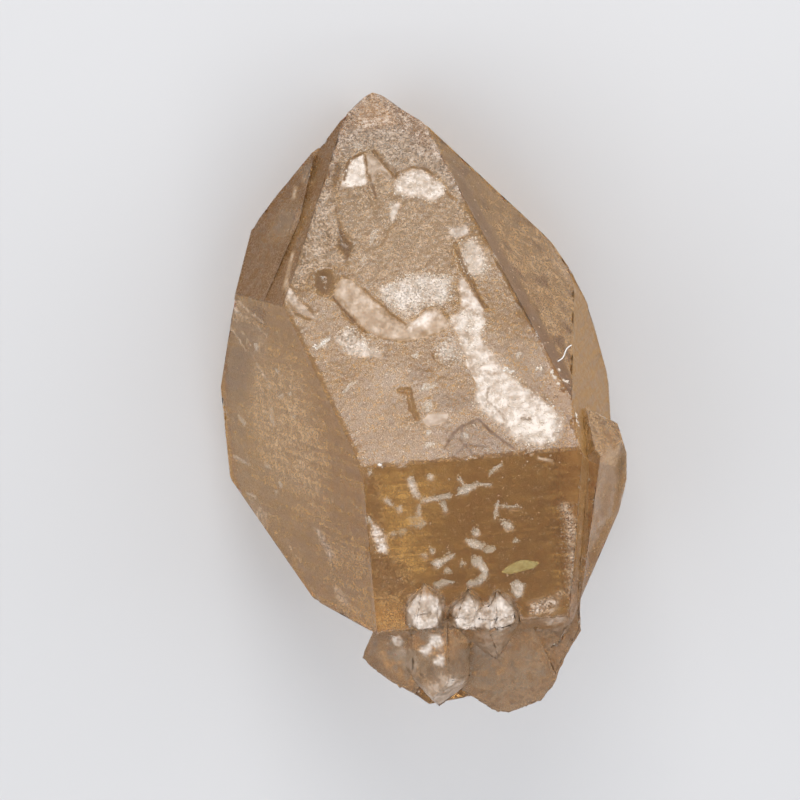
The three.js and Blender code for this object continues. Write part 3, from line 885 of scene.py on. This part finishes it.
clouds = add(tree, "ShaderNodeTexNoise", {
    "Vector": where, "Scale": 1 / (CLOUD * MM), "Detail": 5, "Roughness": 0.65,
})
stretched = add(tree, "ShaderNodeMapping", {"Vector": where, "Scale": (0.05, 1, 0.05)})
lines = add(tree, "ShaderNodeTexNoise", {
    "Vector": stretched.outputs[0], "Scale": 1 / (LINE_STEP * MM), "Detail": 3,
})

both = add(tree, "ShaderNodeMath", {0: hillocks.outputs[0], 1: cell_tone.outputs[0]}, operation="MULTIPLY")
specks = add(tree, "ShaderNodeMapRange", {0: both.outputs[0], 1: 0.04, 2: 0.5, 3: 0.15, 4: 2.1})
even_or_grainy = add(tree, "ShaderNodeMix", {0: grainy.outputs["Fac"], 2: 1.0, 3: specks.outputs[0]})
line_marks = add(tree, "ShaderNodeMapRange", {0: lines.outputs[0], 1: 0.4, 2: 0.7, 3: 0.8, 4: 1.5})
even_or_lined = add(tree, "ShaderNodeMix", {0: lines_on.outputs["Fac"], 2: 1.0, 3: line_marks.outputs[0]})
patches = add(tree, "ShaderNodeMapRange", {0: clouds.outputs[0], 1: 0.3, 2: 0.7, 3: 0.4, 4: 1.55})
share = etched.outputs["Fac"]
for factor in (even_or_grainy, even_or_lined, patches):
    share = add(tree, "ShaderNodeMath", {0: share, 1: factor.outputs[0]}, operation="MULTIPLY").outputs[0]
skin_share = add(tree, "ShaderNodeClamp", {0: share, 1: 0.0, 2: 0.95})
whiter = add(tree, "ShaderNodeMath", {0: patches.outputs[0], 1: milky.outputs["Fac"]},
             operation="MULTIPLY", use_clamp=True)
tan = add(tree, "ShaderNodeMix", {0: hillocks.outputs[0], 6: opaque("8A5C26"), 7: opaque("DCAC62")},
          data_type="RGBA")
skin_colour = add(tree, "ShaderNodeMix", {0: whiter.outputs[0], 6: tan.outputs[2], 7: opaque("F6E8DC")},
                  data_type="RGBA")
# stained and painted shade: the skin goes dark brown where it is stained, and along the tip face's relief
# edges, where shade is painted
stain_and_painted_shade = add(tree, "ShaderNodeAttribute", attribute_name="stain_and_painted_shade")
skin_stained_and_shaded = add(tree, "ShaderNodeMix", {
    0: stain_and_painted_shade.outputs["Fac"], 6: skin_colour.outputs[2], 7: opaque("5E3C20"),
}, data_type="RGBA")
hillock_height = add(tree, "ShaderNodeMath", {0: hillocks.outputs[0], 1: grainy.outputs["Fac"]},
                     operation="MULTIPLY")
line_height = add(tree, "ShaderNodeMath", {0: lines.outputs[0], 1: lines_on.outputs["Fac"]},
                  operation="MULTIPLY")
line_bump = add(tree, "ShaderNodeBump", {
    "Strength": 0.4, "Distance": BUMP_HEIGHT * MM, "Height": line_height.outputs[0],
})
bump = add(tree, "ShaderNodeBump", {
    "Strength": 0.7, "Distance": BUMP_HEIGHT * MM, "Height": hillock_height.outputs[0],
    "Normal": line_bump.outputs[0],
})
gloss = add(tree, "ShaderNodeMapRange", {0: etched.outputs["Fac"], 1: 0.0, 2: 0.6, 3: 0.03, 4: 0.35})
clear = add(tree, "ShaderNodeBsdfPrincipled", {
    "Base Color": opaque("FFFAF2"), "Roughness": gloss.outputs[0], "IOR": QUARTZ_IOR,
    "Transmission Weight": 1.0, "Normal": bump.outputs[0],
})
etch = add(tree, "ShaderNodeBsdfPrincipled", {
    "Base Color": skin_stained_and_shaded.outputs[2], "Roughness": 0.5, "IOR": QUARTZ_IOR, "Specular IOR Level": 0.3,
    "Normal": bump.outputs[0],
})
surface_shader = add(tree, "ShaderNodeMixShader", {
    0: skin_share.outputs[0], 1: clear.outputs[0], 2: etch.outputs[0],
})
depth_colour = add(tree, "ShaderNodeVolumeAbsorption", {"Color": (0.95, 0.65, 0.08, 1), "Density": 16})
add(tree, "ShaderNodeOutputMaterial", {
    "Surface": surface_shader.outputs[0], "Volume": depth_colour.outputs[0],
})
crystal_mesh.materials.append(quartz)
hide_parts("citrine_crystal")
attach(crystal, "root")


# ---------------------------------------------------------------------------
# The milky veils. Sheets of tiny bubbles that were sealed in just under the etched tip face as it grew.
# They are thin and ragged, with holes, and show as white cloudy patches.
# ---------------------------------------------------------------------------
TIP_OUT = direction(0, TIP_RISE)
TIP_RIGHT = Vector((1, 0, 0))


def tip_place(u, v, depth):
    """The place behind (u, v) on the tip face, that deep."""
    return TIP_RIGHT * u + TIP_UP * v - TIP_OUT * depth


def front_place(x, y, depth):
    """The place behind (x, y) on the front face, that deep."""
    return Vector((x, y, -depth))


def resampled(outline, spacing):
    """The outline with a point every so often."""
    ring = []
    for start, end in zip(outline, outline[1:] + outline[:1]):
        start, end = np.array(start, float), np.array(end, float)
        steps = max(1, round(np.linalg.norm(end - start) / spacing))
        ring += [start + (end - start) * i / steps for i in range(steps)]
    return np.array(ring)


SOLID_RIM = 1.5  # mm inside its rim, a sheet is as solid as it gets
SOLID_MEAN = 0.5
SOLID_SLOPE = 0.4
OTHER_HOLES = 0.4  # how strongly holes three times finer and three times broader show


def ragged_sheet(outline, spacing, seed, hole_size, openness):
    """A flat sheet inside the outline with holes, more of them near its rim: its points and triangles."""
    ring = resampled(outline, spacing)
    filling, depth_in, cut = tile(ring, spacing, seed)
    flat = np.vstack([ring, filling])
    depths = np.concatenate([np.zeros(len(ring)), depth_in])
    solid = SOLID_MEAN + lumps(flat, hole_size, seed)
    for size in (hole_size / 3, 3 * hole_size):
        solid += swell(flat, (size, OTHER_HOLES, seed))
    solid += np.minimum(depths, SOLID_RIM) * SOLID_SLOPE - openness
    kept = [corners for corners in cut if min(solid[corners]) > 0]
    used = sorted({i for corners in kept for i in corners})
    renumber = {old: new for new, old in enumerate(used)}
    return flat[used], [[renumber[i] for i in corners] for corners in kept]


def merge_into(bm, places, triangles):
    """Adds a triangle mesh, given in mm from the front corner, to bm."""
    corners = [bm.verts.new(place(*p)) for p in places]
    for a, b, c in triangles:
        bm.faces.new((corners[a], corners[b], corners[c]))


def finished(bm, name, material, thickness=0):
    """A finished piece of the crystal: the mesh as it is, or a sheet given its thickness in mm."""
    mesh = bpy.data.meshes.new(name)
    bm.to_mesh(mesh)
    bm.free()
    mesh.materials.append(material)
    piece = show(name, mesh)
    if thickness:
        wall = piece.modifiers.new("wall", "SOLIDIFY")
        wall.thickness = thickness * MM
        wall.offset = 0
        evaluated = piece.evaluated_get(bpy.context.evaluated_depsgraph_get())
        solid = bpy.data.meshes.new_from_object(evaluated)
        piece.modifiers.clear()
        piece.data = solid
    piece.data.polygons.foreach_set("use_smooth", [True] * len(piece.data.polygons))
    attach(piece, "root")
    return piece


def mottled(name, clump, dark, light, finish, detail=2):
    """A material whose colour goes between two tones, in clumps of that size in mm."""
    material, tree = new_material(name)
    coordinates = add(tree, "ShaderNodeTexCoord")
    clumps = add(tree, "ShaderNodeTexNoise", {
        "Vector": coordinates.outputs["Object"], "Scale": 1 / (clump * MM), "Detail": detail,
    })
    tone = add(tree, "ShaderNodeMix", {0: clumps.outputs[0], 6: opaque(dark), 7: opaque(light)},
               data_type="RGBA")
    coat = add(tree, "ShaderNodeBsdfPrincipled", {"Base Color": tone.outputs[2], **finish})
    add(tree, "ShaderNodeOutputMaterial", {"Surface": coat.outputs[0]})
    return material


SHEET_OPENNESS = 0.35
VEIL_DEPTH = 0.22
VEIL_SPACING = 0.3
VEIL_SEED = 30
VEIL_HOLES = 0.6
VEIL_THICKNESS = 0.1
veils = bmesh.new()
# outline on the tip face, openness
VEILS = [
    (LEFT_ARCH, 0.35), (RIGHT_ARCH, 0.4), (MILKY_LOBE, 0.45), (PALE_FIELD, 0.5), (GRAINY_FIELD, 0.62),
    (RING_PATCH, 0.62), (ROUND_PATCH, 0.6), (WHITE_CORNER, 0.5),
]
for number, (outline, openness) in enumerate(VEILS):
    seed = VEIL_SEED + number
    flat, kept = ragged_sheet(outline, VEIL_SPACING, seed, VEIL_HOLES, SHEET_OPENNESS + openness)
    merge_into(veils, [tip_place(*p, d) for p, d in zip(flat, tip_depth(flat) + VEIL_DEPTH)], kept)
# deeper clouds in the foot, below the small points: outline on the front face's plane, depth, openness
FOOT_CLOUDS = [
    ([(6, -26), (12, -25), (13, -31), (11, -35), (6, -33)], 2.2, 0.35),
    ([(14, -26), (20, -26), (20, -33), (15, -33)], 2.4, 0.45),
    ([(20, -27), (26, -28), (26, -33), (20, -33)], 2.2, 0.3),
    ([(8, -32), (13, -32), (12.5, -36.5), (8.5, -37)], 2.6, 0.3),
    ([(2, -32), (6, -32), (6, -38), (1, -37)], 4.5, 0.4),
    ([(13, -34), (26, -34), (25, -38), (19, -40), (14, -40)], 4.2, 0.5),
    ([(1, -35), (12, -37), (14, -44), (8, -45), (2, -42)], 8, 0.3),
    ([(14, -38), (30, -38), (32, -46), (22, -50), (15, -45)], 7, 0.4),
]
CLOUD_SPACING = 0.35
CLOUD_SEED = 50
CLOUD_HOLES = 1.1
CLOUD_ROLL = 4
CLOUD_ROLL_HEIGHT = 0.8
for number, (outline, depth, openness) in enumerate(FOOT_CLOUDS):
    seed = CLOUD_SEED + number
    flat, kept = ragged_sheet(outline, CLOUD_SPACING, seed, CLOUD_HOLES, SHEET_OPENNESS + openness)
    deep = depth + swell(flat, (CLOUD_ROLL, CLOUD_ROLL_HEIGHT, seed))
    merge_into(veils, [front_place(*p, d) for p, d in zip(flat, deep)], kept)
bmesh.ops.delete(veils, geom=[v for v in veils.verts if not v.link_faces], context="VERTS")

# Bubbles too small to see scatter nearly all the light: a dead white, curdled like milk.
milky_white = mottled("milky quartz, tiny bubbles", 0.7, "E4D2BC", "FAF2E8", {
    "Roughness": 0.75, "IOR": 1.1, "Transmission Weight": 0.1,
}, detail=4)
finished(veils, "milky_veils", milky_white, thickness=VEIL_THICKNESS)


# ---------------------------------------------------------------------------
# The milky frost. Coarser grains of the same bubbly quartz, strewn on the veils where they are thickest.
# Each is a rounded crumb, up to about half a millimetre across.
# ---------------------------------------------------------------------------
pebble = bmesh.new()
bmesh.ops.create_icosphere(pebble, subdivisions=1, radius=1)
pebble.verts.index_update()
PEBBLE_POINTS = np.array([v.co for v in pebble.verts])
PEBBLE_FACES = [[v.index for v in face.verts] for face in pebble.faces]
pebble.free()
CRUMB_RADIUS = (0.08, 0.22)
CRUMB_STRETCH = (0.5, 1.3)
CRUMB_OVERHANG = 0.4
CRUMB_CLUMPS = (1.1, 0.9, 27)
CRUMB_RAGGED = (-0.35, 0.1)  # mm, how far the crumbs' own outline strays
CRUMB_SINK = (-0.3, 0.1)


def add_crumb(bm, draw, centre, stretches, radii):
    """One crumb, turned and stretched at random."""
    turn = Matrix.Rotation(draw.uniform(0, math.tau), 3, Vector(draw.normal(0, 1, 3)).normalized())
    stretch = draw.uniform(*stretches, 3) * draw.uniform(*radii)
    merge_into(bm, (PEBBLE_POINTS * stretch) @ np.array(turn) + np.array(centre), PEBBLE_FACES)


def crumbs(bm, outline, depth, per_square_mm, draw, to_place):
    """Fills an outline, raggedly, with grains: depth is in mm, or a function of the places on the face."""
    ring = np.array(outline, float)
    low, high = ring.min(0) - CRUMB_OVERHANG, ring.max(0) + CRUMB_OVERHANG
    tries = draw.uniform(low, high, (int(per_square_mm * np.prod(high - low)), 2))
    clumped = swell(tries, CRUMB_CLUMPS)
    kept = tries[signed_distance(ring, tries) > draw.uniform(*CRUMB_RAGGED, len(tries)) - clumped]
    kept = kept[signed_distance(ring, kept) > -CRUMB_OVERHANG]
    deep = depth(kept) if callable(depth) else np.full(len(kept), depth)
    for (u, v), below in zip(kept, deep + draw.uniform(*CRUMB_SINK, len(kept))):
        add_crumb(bm, draw, to_place(u, v, below), CRUMB_STRETCH, CRUMB_RADIUS)


# outline, grains on each square mm
FROST = [
    (LEFT_ARCH, 4), (RIGHT_ARCH, 4), (MILKY_LOBE, 4), (PALE_FIELD, 4), (GRAINY_FIELD, 10),
    (RING_PATCH, 7), (ROUND_PATCH, 7), (LOBE_TOP, 6), (LOBE_END, 3),
]
frost = bmesh.new()
draw = np.random.default_rng(9)
for outline, thick in FROST:
    crumbs(frost, outline, lambda uv: tip_depth(uv) + VEIL_DEPTH, thick, draw, tip_place)
finished(frost, "milky_frost", milky_white)


# ---------------------------------------------------------------------------
# Flakes and rods sealed behind the front prism face, the tip face and the left prism face. They are thin
# bits of a white mineral that the crystal grew round, so they float at different depths.
# ---------------------------------------------------------------------------
LENS_SPACING = 0.35
LENS_RIM = 0.05  # half its thickness at the rim
LENS_SLOPE = 0.8  # mm in from the rim to its full thickness
LENS_STRAY = (0.8, 0.3)
LENS_WAVE = (1.6, 0.3)


def lens(bm, outline, thickness, depth, seed, to_place):
    """A closed flake: both its sides bulge out from one ragged rim."""
    ring = resampled(outline, LENS_SPACING)
    ring = ring + stray(ring, (*LENS_STRAY, seed))
    filling, depth_in, cut = tile(ring, LENS_SPACING, seed)
    flat = np.vstack([ring, filling])
    slope = np.concatenate([np.zeros(len(ring)), np.sqrt(np.minimum(depth_in, LENS_SLOPE) / LENS_SLOPE)])
    bulge = LENS_RIM + slope * thickness / 2
    middle = depth + swell(flat, (*LENS_WAVE, seed))
    top = [to_place(u, v, m - b) for (u, v), m, b in zip(flat, middle, bulge)]
    low = [to_place(u, v, m + b) for (u, v), m, b in zip(flat, middle, bulge)]
    shift = len(flat)
    under = [[c + shift, b + shift, a + shift] for a, b, c in cut]
    rim = list(zip(range(len(ring)), [*range(1, len(ring)), 0]))
    wall = [[b, a, a + shift] for a, b in rim] + [[b, a + shift, b + shift] for a, b in rim]
    merge_into(bm, top + low, cut + under + wall)


def seal_in(bm, flakes_here, to_place, draw, thickness, first_seed, crumbs_thick):
    """Flakes behind one face, each with crumbs broken off it."""
    for number, (outline, depth) in enumerate(flakes_here):
        lens(bm, outline, thickness, depth, first_seed + number, to_place)
        crumbs(bm, outline, depth, crumbs_thick, draw, to_place)


# Their loose, fluffy surface has no shine, so they look soft and quite white.
flake_white = mottled("white mineral flakes, fluffy", 0.5, "F0E2D0", "FFFFFF", {"Roughness": 0.9}, detail=3)
flakes = bmesh.new()
draw = np.random.default_rng(11)
seal_in(flakes, FLAKES, front_place, draw, thickness=0.4, first_seed=60, crumbs_thick=16)
# outline on the tip face, and how deep it floats
TIP_FLAKES = [
    (ribbon([(-6.8, 25.6), (-5.4, 26.4), (-4.2, 27.5)], 0.9), 0.7),
    (ribbon([(-2.3, 16.1), (-1.2, 17.4), (0.1, 18.1)], 0.5), 0.8),
    (ribbon([(9.5, 55.5), (10.2, 53.8), (9.6, 52)], 0.9), 1.3),
    (ribbon([(6, 49.8), (5, 47.3)], 0.8), 1.4), (ribbon([(3.6, 44.3), (3.2, 43)], 0.7), 1.2),
    (disc(4.2, 68.8, 0.9), 0.6), (disc(3.3, 0.6, 0.45), 0.4), (disc(19, 5.2, 0.7), 0.7),
    (disc(12.5, 4, 0.7), 0.9), (disc(12.7, 6.4, 0.6), 0.8), (disc(13, 11.7, 1.1), 1.0),
    ([(12, 15), (14.6, 15.2), (15, 16), (12.5, 16.4)], 0.9), (disc(11.7, 22.4, 0.6), 0.8),
    (disc(30.7, 20.6, 0.6), 0.7), (ribbon([(27.8, 18), (29, 16.9)], 0.6), 0.6),
    (disc(31.5, 12.5, 0.8), 0.6),
]
seal_in(flakes, TIP_FLAKES, tip_place, draw, thickness=0.35, first_seed=120, crumbs_thick=14)
LEFT_OUT = direction(-60, 0)


def left_place(back, y, depth):
    """The place behind the left face, that far back from the front corner and that deep."""
    return -LEFT_RIGHTWARD * back + Vector((0, y, 0)) - LEFT_OUT * depth


# outline on the left face, as distances back and up it, and how deep it floats
LEFT_FLAKES = [
    (ribbon([(29.4, 9.2), (31, 8.6)], 0.7), 0.9), (ribbon([(35, 5), (35.5, 3.2), (34.5, 2.4)], 0.9), 0.8),
    (ribbon([(47.2, 0.8), (49.8, 1.8)], 0.9), 0.7), (ribbon([(38, -6.6), (40.2, -6.4)], 0.7), 0.8),
    (disc(46, 24, 0.6), 0.6), (disc(39, 17.5, 0.9), 1.0),
    (ribbon([(30.2, 13.6), (31.4, 14.3)], 0.5), 0.7), (disc(26.5, 10, 0.5), 0.7),
    (ribbon([(25, 6), (27, 5)], 0.35), 0.8), (disc(35, -9.7, 0.7), 1.8), (disc(37, -11.5, 0.5), 1.6),
    (ribbon([(47, -7.9), (54, -7.2)], 0.3), 1.0), (ribbon([(46, -14.3), (50, -14.4)], 0.3), 0.9),
    (disc(34.5, 5.6, 0.4), 0.7),
]
seal_in(flakes, LEFT_FLAKES, left_place, draw, thickness=0.35, first_seed=150, crumbs_thick=16)
finished(flakes, "white_flakes", flake_white)


# ---------------------------------------------------------------------------
# The inner dust. Specks of the same white mineral, caught all through the upper half of the stone while it
# grew. They lie in loose clumps.
# ---------------------------------------------------------------------------
# low corner, high corner, specks tried
DUST = [((1, -30, -26), (35, -1, -1.5), 4200), ((2, 2, -26), (34, 14, -16), 900)]
DUST_CLUMP = 5
DUST_SEED = 28
DUST_SPARED = (-0.3, 0.6)  # how much of the noise has no dust, drawn for each speck
DUST_RADIUS = (0.04, 0.13)
dust = bmesh.new()
for low, high, count in DUST:
    tries = draw.uniform(low, high, (count, 3))
    for centre in tries[lumps(tries, DUST_CLUMP, DUST_SEED) > draw.uniform(*DUST_SPARED, count)]:
        stretch = draw.uniform(*CRUMB_STRETCH, 3) * draw.uniform(*DUST_RADIUS)
        merge_into(dust, PEBBLE_POINTS * stretch + centre, PEBBLE_FACES)
finished(dust, "inner_dust", flake_white)


# ---------------------------------------------------------------------------
# The yellow flake. One thicker bit of an ochre-yellow mineral, grown over two millimetres behind the
# front prism face.
# ---------------------------------------------------------------------------
YELLOW = [
    (23.8, -22.2), (25.5, -21.3), (27.5, -20.3), (29.3, -20.5), (31, -21.3), (30, -22), (28, -22.3),
    (25, -22.7),
]
YELLOW_THICKNESS = 0.5
YELLOW_DEPTH = 2.0
YELLOW_SEED = 90
# It is earthy, so it has no shine and its yellow is uneven.
yellow = mottled("yellow mineral flake, dull", 1.1, "C9B45C", "F6EDB0", {"Roughness": 0.6}, detail=4)
yellow_flake = bmesh.new()
lens(yellow_flake, YELLOW, YELLOW_THICKNESS, YELLOW_DEPTH, YELLOW_SEED, front_place)
finished(yellow_flake, "yellow_flake", yellow)


# ---------------------------------------------------------------------------
# Grains. Dust of the same milky kind, caught under most of the outer faces and thickest under the tip face,
# beside the veils and down the right side of the front face.
# ---------------------------------------------------------------------------
GRAIN_DEPTH = 0.35
GRAIN_SIZE = (0.2, 0.6)
seat_points = surface - out * GRAIN_DEPTH
density = np.zeros(len(points))
GRAINS_ON = {
    "tip": 0.55, "left": 0.22, "left_tip": 0.3, "right_tip": 0.2, "front": 0.12, "layer": 0.5,
    "side_crystal": 0.1, "right_taper": 0.08, "foot": 0.7, "block": 0.7, "broken": 0.2,
}
for name, amount in GRAINS_ON.items():
    density[members[name]] = amount
# outline on the tip face, how thick the grains lie there
GRAINY = [
    (GRAINY_FIELD, 8.0), (MILKY_LOBE, 1.5), (RING_PATCH, 4.0), (ROUND_PATCH, 4.0), (BASIN, 0.5),
    ([(5, 17), (9, 17), (9, 20), (5, 20)], 2.0), ([(10, 5), (24, 8), (24, 26), (12, 24)], 0.9),
]
# the same on the front face
BANDS = [
    ([(35.5, -10), (38.5, -10), (38.5, -27), (35.5, -27)], 6.0),
    ([(0.5, -11), (2.4, -11.5), (3.4, -14), (3.3, -16.4), (1.7, -16), (0.8, -13.5)], 10.0),
    ([(0, -10), (3, -10), (3, -30), (0, -30)], 0.5),
]
for own, spots, patches_here, fade in ((tip, uv, GRAINY, (-1.2, 0.6)), (front, front_xy, BANDS, (-0.3, 0.3))):
    for outline, amount in patches_here:
        near = rise(signed_distance(outline, spots), *fade)
        density[own] = np.maximum(density[own], amount * near)
GRAIN_CLUMP = 3.5
GRAIN_SEED = 14
GRAIN_EDGE = (-0.4, 0.5)
THINNEST = 0.4
CLUMPED = 0.9
density *= THINNEST + CLUMPED * rise(lumps(at, GRAIN_CLUMP, GRAIN_SEED), *GRAIN_EDGE)

BARE = 0.02  # no grains below this
seat_mesh = bpy.data.meshes.new("grain_seat")
seated = [t for t in triangles if max(density[t]) > BARE]
seat_mesh.from_pydata([place(*p) for p in seat_points], [], seated)
seat_mesh.attributes.new("density", "FLOAT", "POINT").data.foreach_set("value", density)
grains = show("milky_grains", seat_mesh)

tree = bpy.data.node_groups.new("grains", "GeometryNodeTree")
SOCKETS = [
    ("Geometry", "Geometry", "INPUT"), ("Grains per m2", "Float", "INPUT"), ("Smallest", "Float", "INPUT"),
    ("Largest", "Float", "INPUT"), ("Material", "Material", "INPUT"), ("Geometry", "Geometry", "OUTPUT"),
]
for name, kind, way in SOCKETS:
    tree.interface.new_socket(name, in_out=way, socket_type="NodeSocket" + kind)
inputs = add(tree, "NodeGroupInput")
SEED = 7
thick = add(tree, "GeometryNodeInputNamedAttribute", {"Name": "density"}, data_type="FLOAT")
wanted = add(tree, "ShaderNodeMath", {
    0: thick.outputs["Attribute"], 1: inputs.outputs["Grains per m2"],
}, operation="MULTIPLY")
spread = add(tree, "GeometryNodeDistributePointsOnFaces", {
    "Mesh": inputs.outputs["Geometry"], "Density": wanted.outputs[0], "Seed": SEED,
})
grain = add(tree, "GeometryNodeMeshIcoSphere", {"Radius": 0.5, "Subdivisions": 1})
turn = add(tree, "FunctionNodeRandomValue", {"Max": (6.28, 6.28, 6.28), "Seed": SEED},
           data_type="FLOAT_VECTOR")
size = add(tree, "FunctionNodeRandomValue", {
    "Min": inputs.outputs["Smallest"], "Max": inputs.outputs["Largest"], "Seed": SEED + 1,
}, data_type="FLOAT")
shape = add(tree, "FunctionNodeRandomValue", {
    "Min": (0.5, 0.4, 0.25), "Max": (1.2, 1.0, 0.7), "Seed": SEED + 2,
}, data_type="FLOAT_VECTOR")
scaled = add(tree, "ShaderNodeVectorMath", {0: shape.outputs["Value"], "Scale": size.outputs[1]},
             operation="SCALE")
placed = add(tree, "GeometryNodeInstanceOnPoints", {
    "Points": spread.outputs["Points"], "Instance": grain.outputs["Mesh"],
    "Rotation": turn.outputs["Value"], "Scale": scaled.outputs[0],
})
joined = add(tree, "GeometryNodeRealizeInstances", {"Geometry": placed.outputs[0]})
coated = add(tree, "GeometryNodeSetMaterial", {
    "Geometry": joined.outputs[0], "Material": inputs.outputs["Material"],
})
add(tree, "NodeGroupOutput", {0: coated.outputs[0]})
scatter = grains.modifiers.new("grains", "NODES")
scatter.node_group = tree
GRAINS_PER_M2 = 1.1e6
values = {
    "Grains per m2": GRAINS_PER_M2, "Smallest": GRAIN_SIZE[0] * MM, "Largest": GRAIN_SIZE[1] * MM,
    "Material": milky_white,
}
for item in tree.interface.items_tree:
    if item.name in values:
        scatter[item.identifier] = values[item.name]
grain_mesh = bpy.data.meshes.new_from_object(grains.evaluated_get(bpy.context.evaluated_depsgraph_get()))
grains.modifiers.clear()
grains.data = grain_mesh
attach(grains, "root")


# ---------------------------------------------------------------------------
# Chips. The edge between the right tip face and the right side is chipped, and bright splinters of quartz
# still sit in the chips.
# ---------------------------------------------------------------------------
CHIPS = [
    (34.3, 14.6, -9.2), (36.6, 12.2, -11.2), (36.9, 11.5, -10.3), (38.1, 10.6, -9.7), (38.6, 9.8, -10.2),
    (40.9, 5.5, -5.4), (41.1, 4.7, -4.6),
]
SPLINTERS_EACH = 6
SPLINTER_SPREAD = 0.35
SPLINTER_STRETCH = (0.3, 1.2)
SPLINTER_RADIUS = (0.2, 0.42)
skin_tree = BVHTree.FromPolygons([Vector(p) for p in surface], [list(t) for t in triangles])
splinters = bmesh.new()
draw = np.random.default_rng(21)
for chip in [chip for chip in CHIPS for _ in range(SPLINTERS_EACH)]:
    spot = skin_tree.find_nearest(Vector(chip) + Vector(draw.normal(0, SPLINTER_SPREAD, 3)))[0]
    add_crumb(splinters, draw, spot, SPLINTER_STRETCH, SPLINTER_RADIUS)
finished(splinters, "chipped_splinters", milky_white)


# ---------------------------------------------------------------------------
# The lint. One white cotton fibre clings to the right tip face near the chips. It lies on the stone, bent
# where it fell.
# ---------------------------------------------------------------------------
FIBRE_THICKNESS = 0.24
FIBRE_LIFT = 0.15
FIBRE = [
    (37.6, 13.8, -12.8), (38.3, 13.8, -13.9), (39, 14, -15.5), (39.5, 14.6, -17.4), (40.1, 15, -18.9),
    (41, 15, -20.5),
]
curve = bpy.data.curves.new("fibre", "CURVE")
curve.dimensions = "3D"
curve.bevel_depth = FIBRE_THICKNESS / 2 * MM
curve.bevel_resolution = 3
curve.use_fill_caps = True
spline = curve.splines.new("NURBS")
spline.points.add(len(FIBRE) - 1)
for point, spot in zip(spline.points, FIBRE):
    below, facing, _, _ = skin_tree.find_nearest(Vector(spot))
    point.co = (*place(*(below + facing * FIBRE_LIFT)), 1)
spline.order_u = 3
spline.use_endpoint_u = True
drawn = show("drawn_fibre", curve)
fibre_mesh = bpy.data.meshes.new_from_object(drawn.evaluated_get(bpy.context.evaluated_depsgraph_get()))
bpy.data.objects.remove(drawn)
# Cotton has no shine: it is white, with painted shade a little greyer where its twist turns from the light.
cotton = mottled("cotton lint, white", 0.3, "E6E2DC", "FFFFFF", {"Roughness": 0.9})
fibre_mesh.materials.clear()
fibre_mesh.materials.append(cotton)
lint = show("lint_fibre", fibre_mesh)
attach(lint, "root")
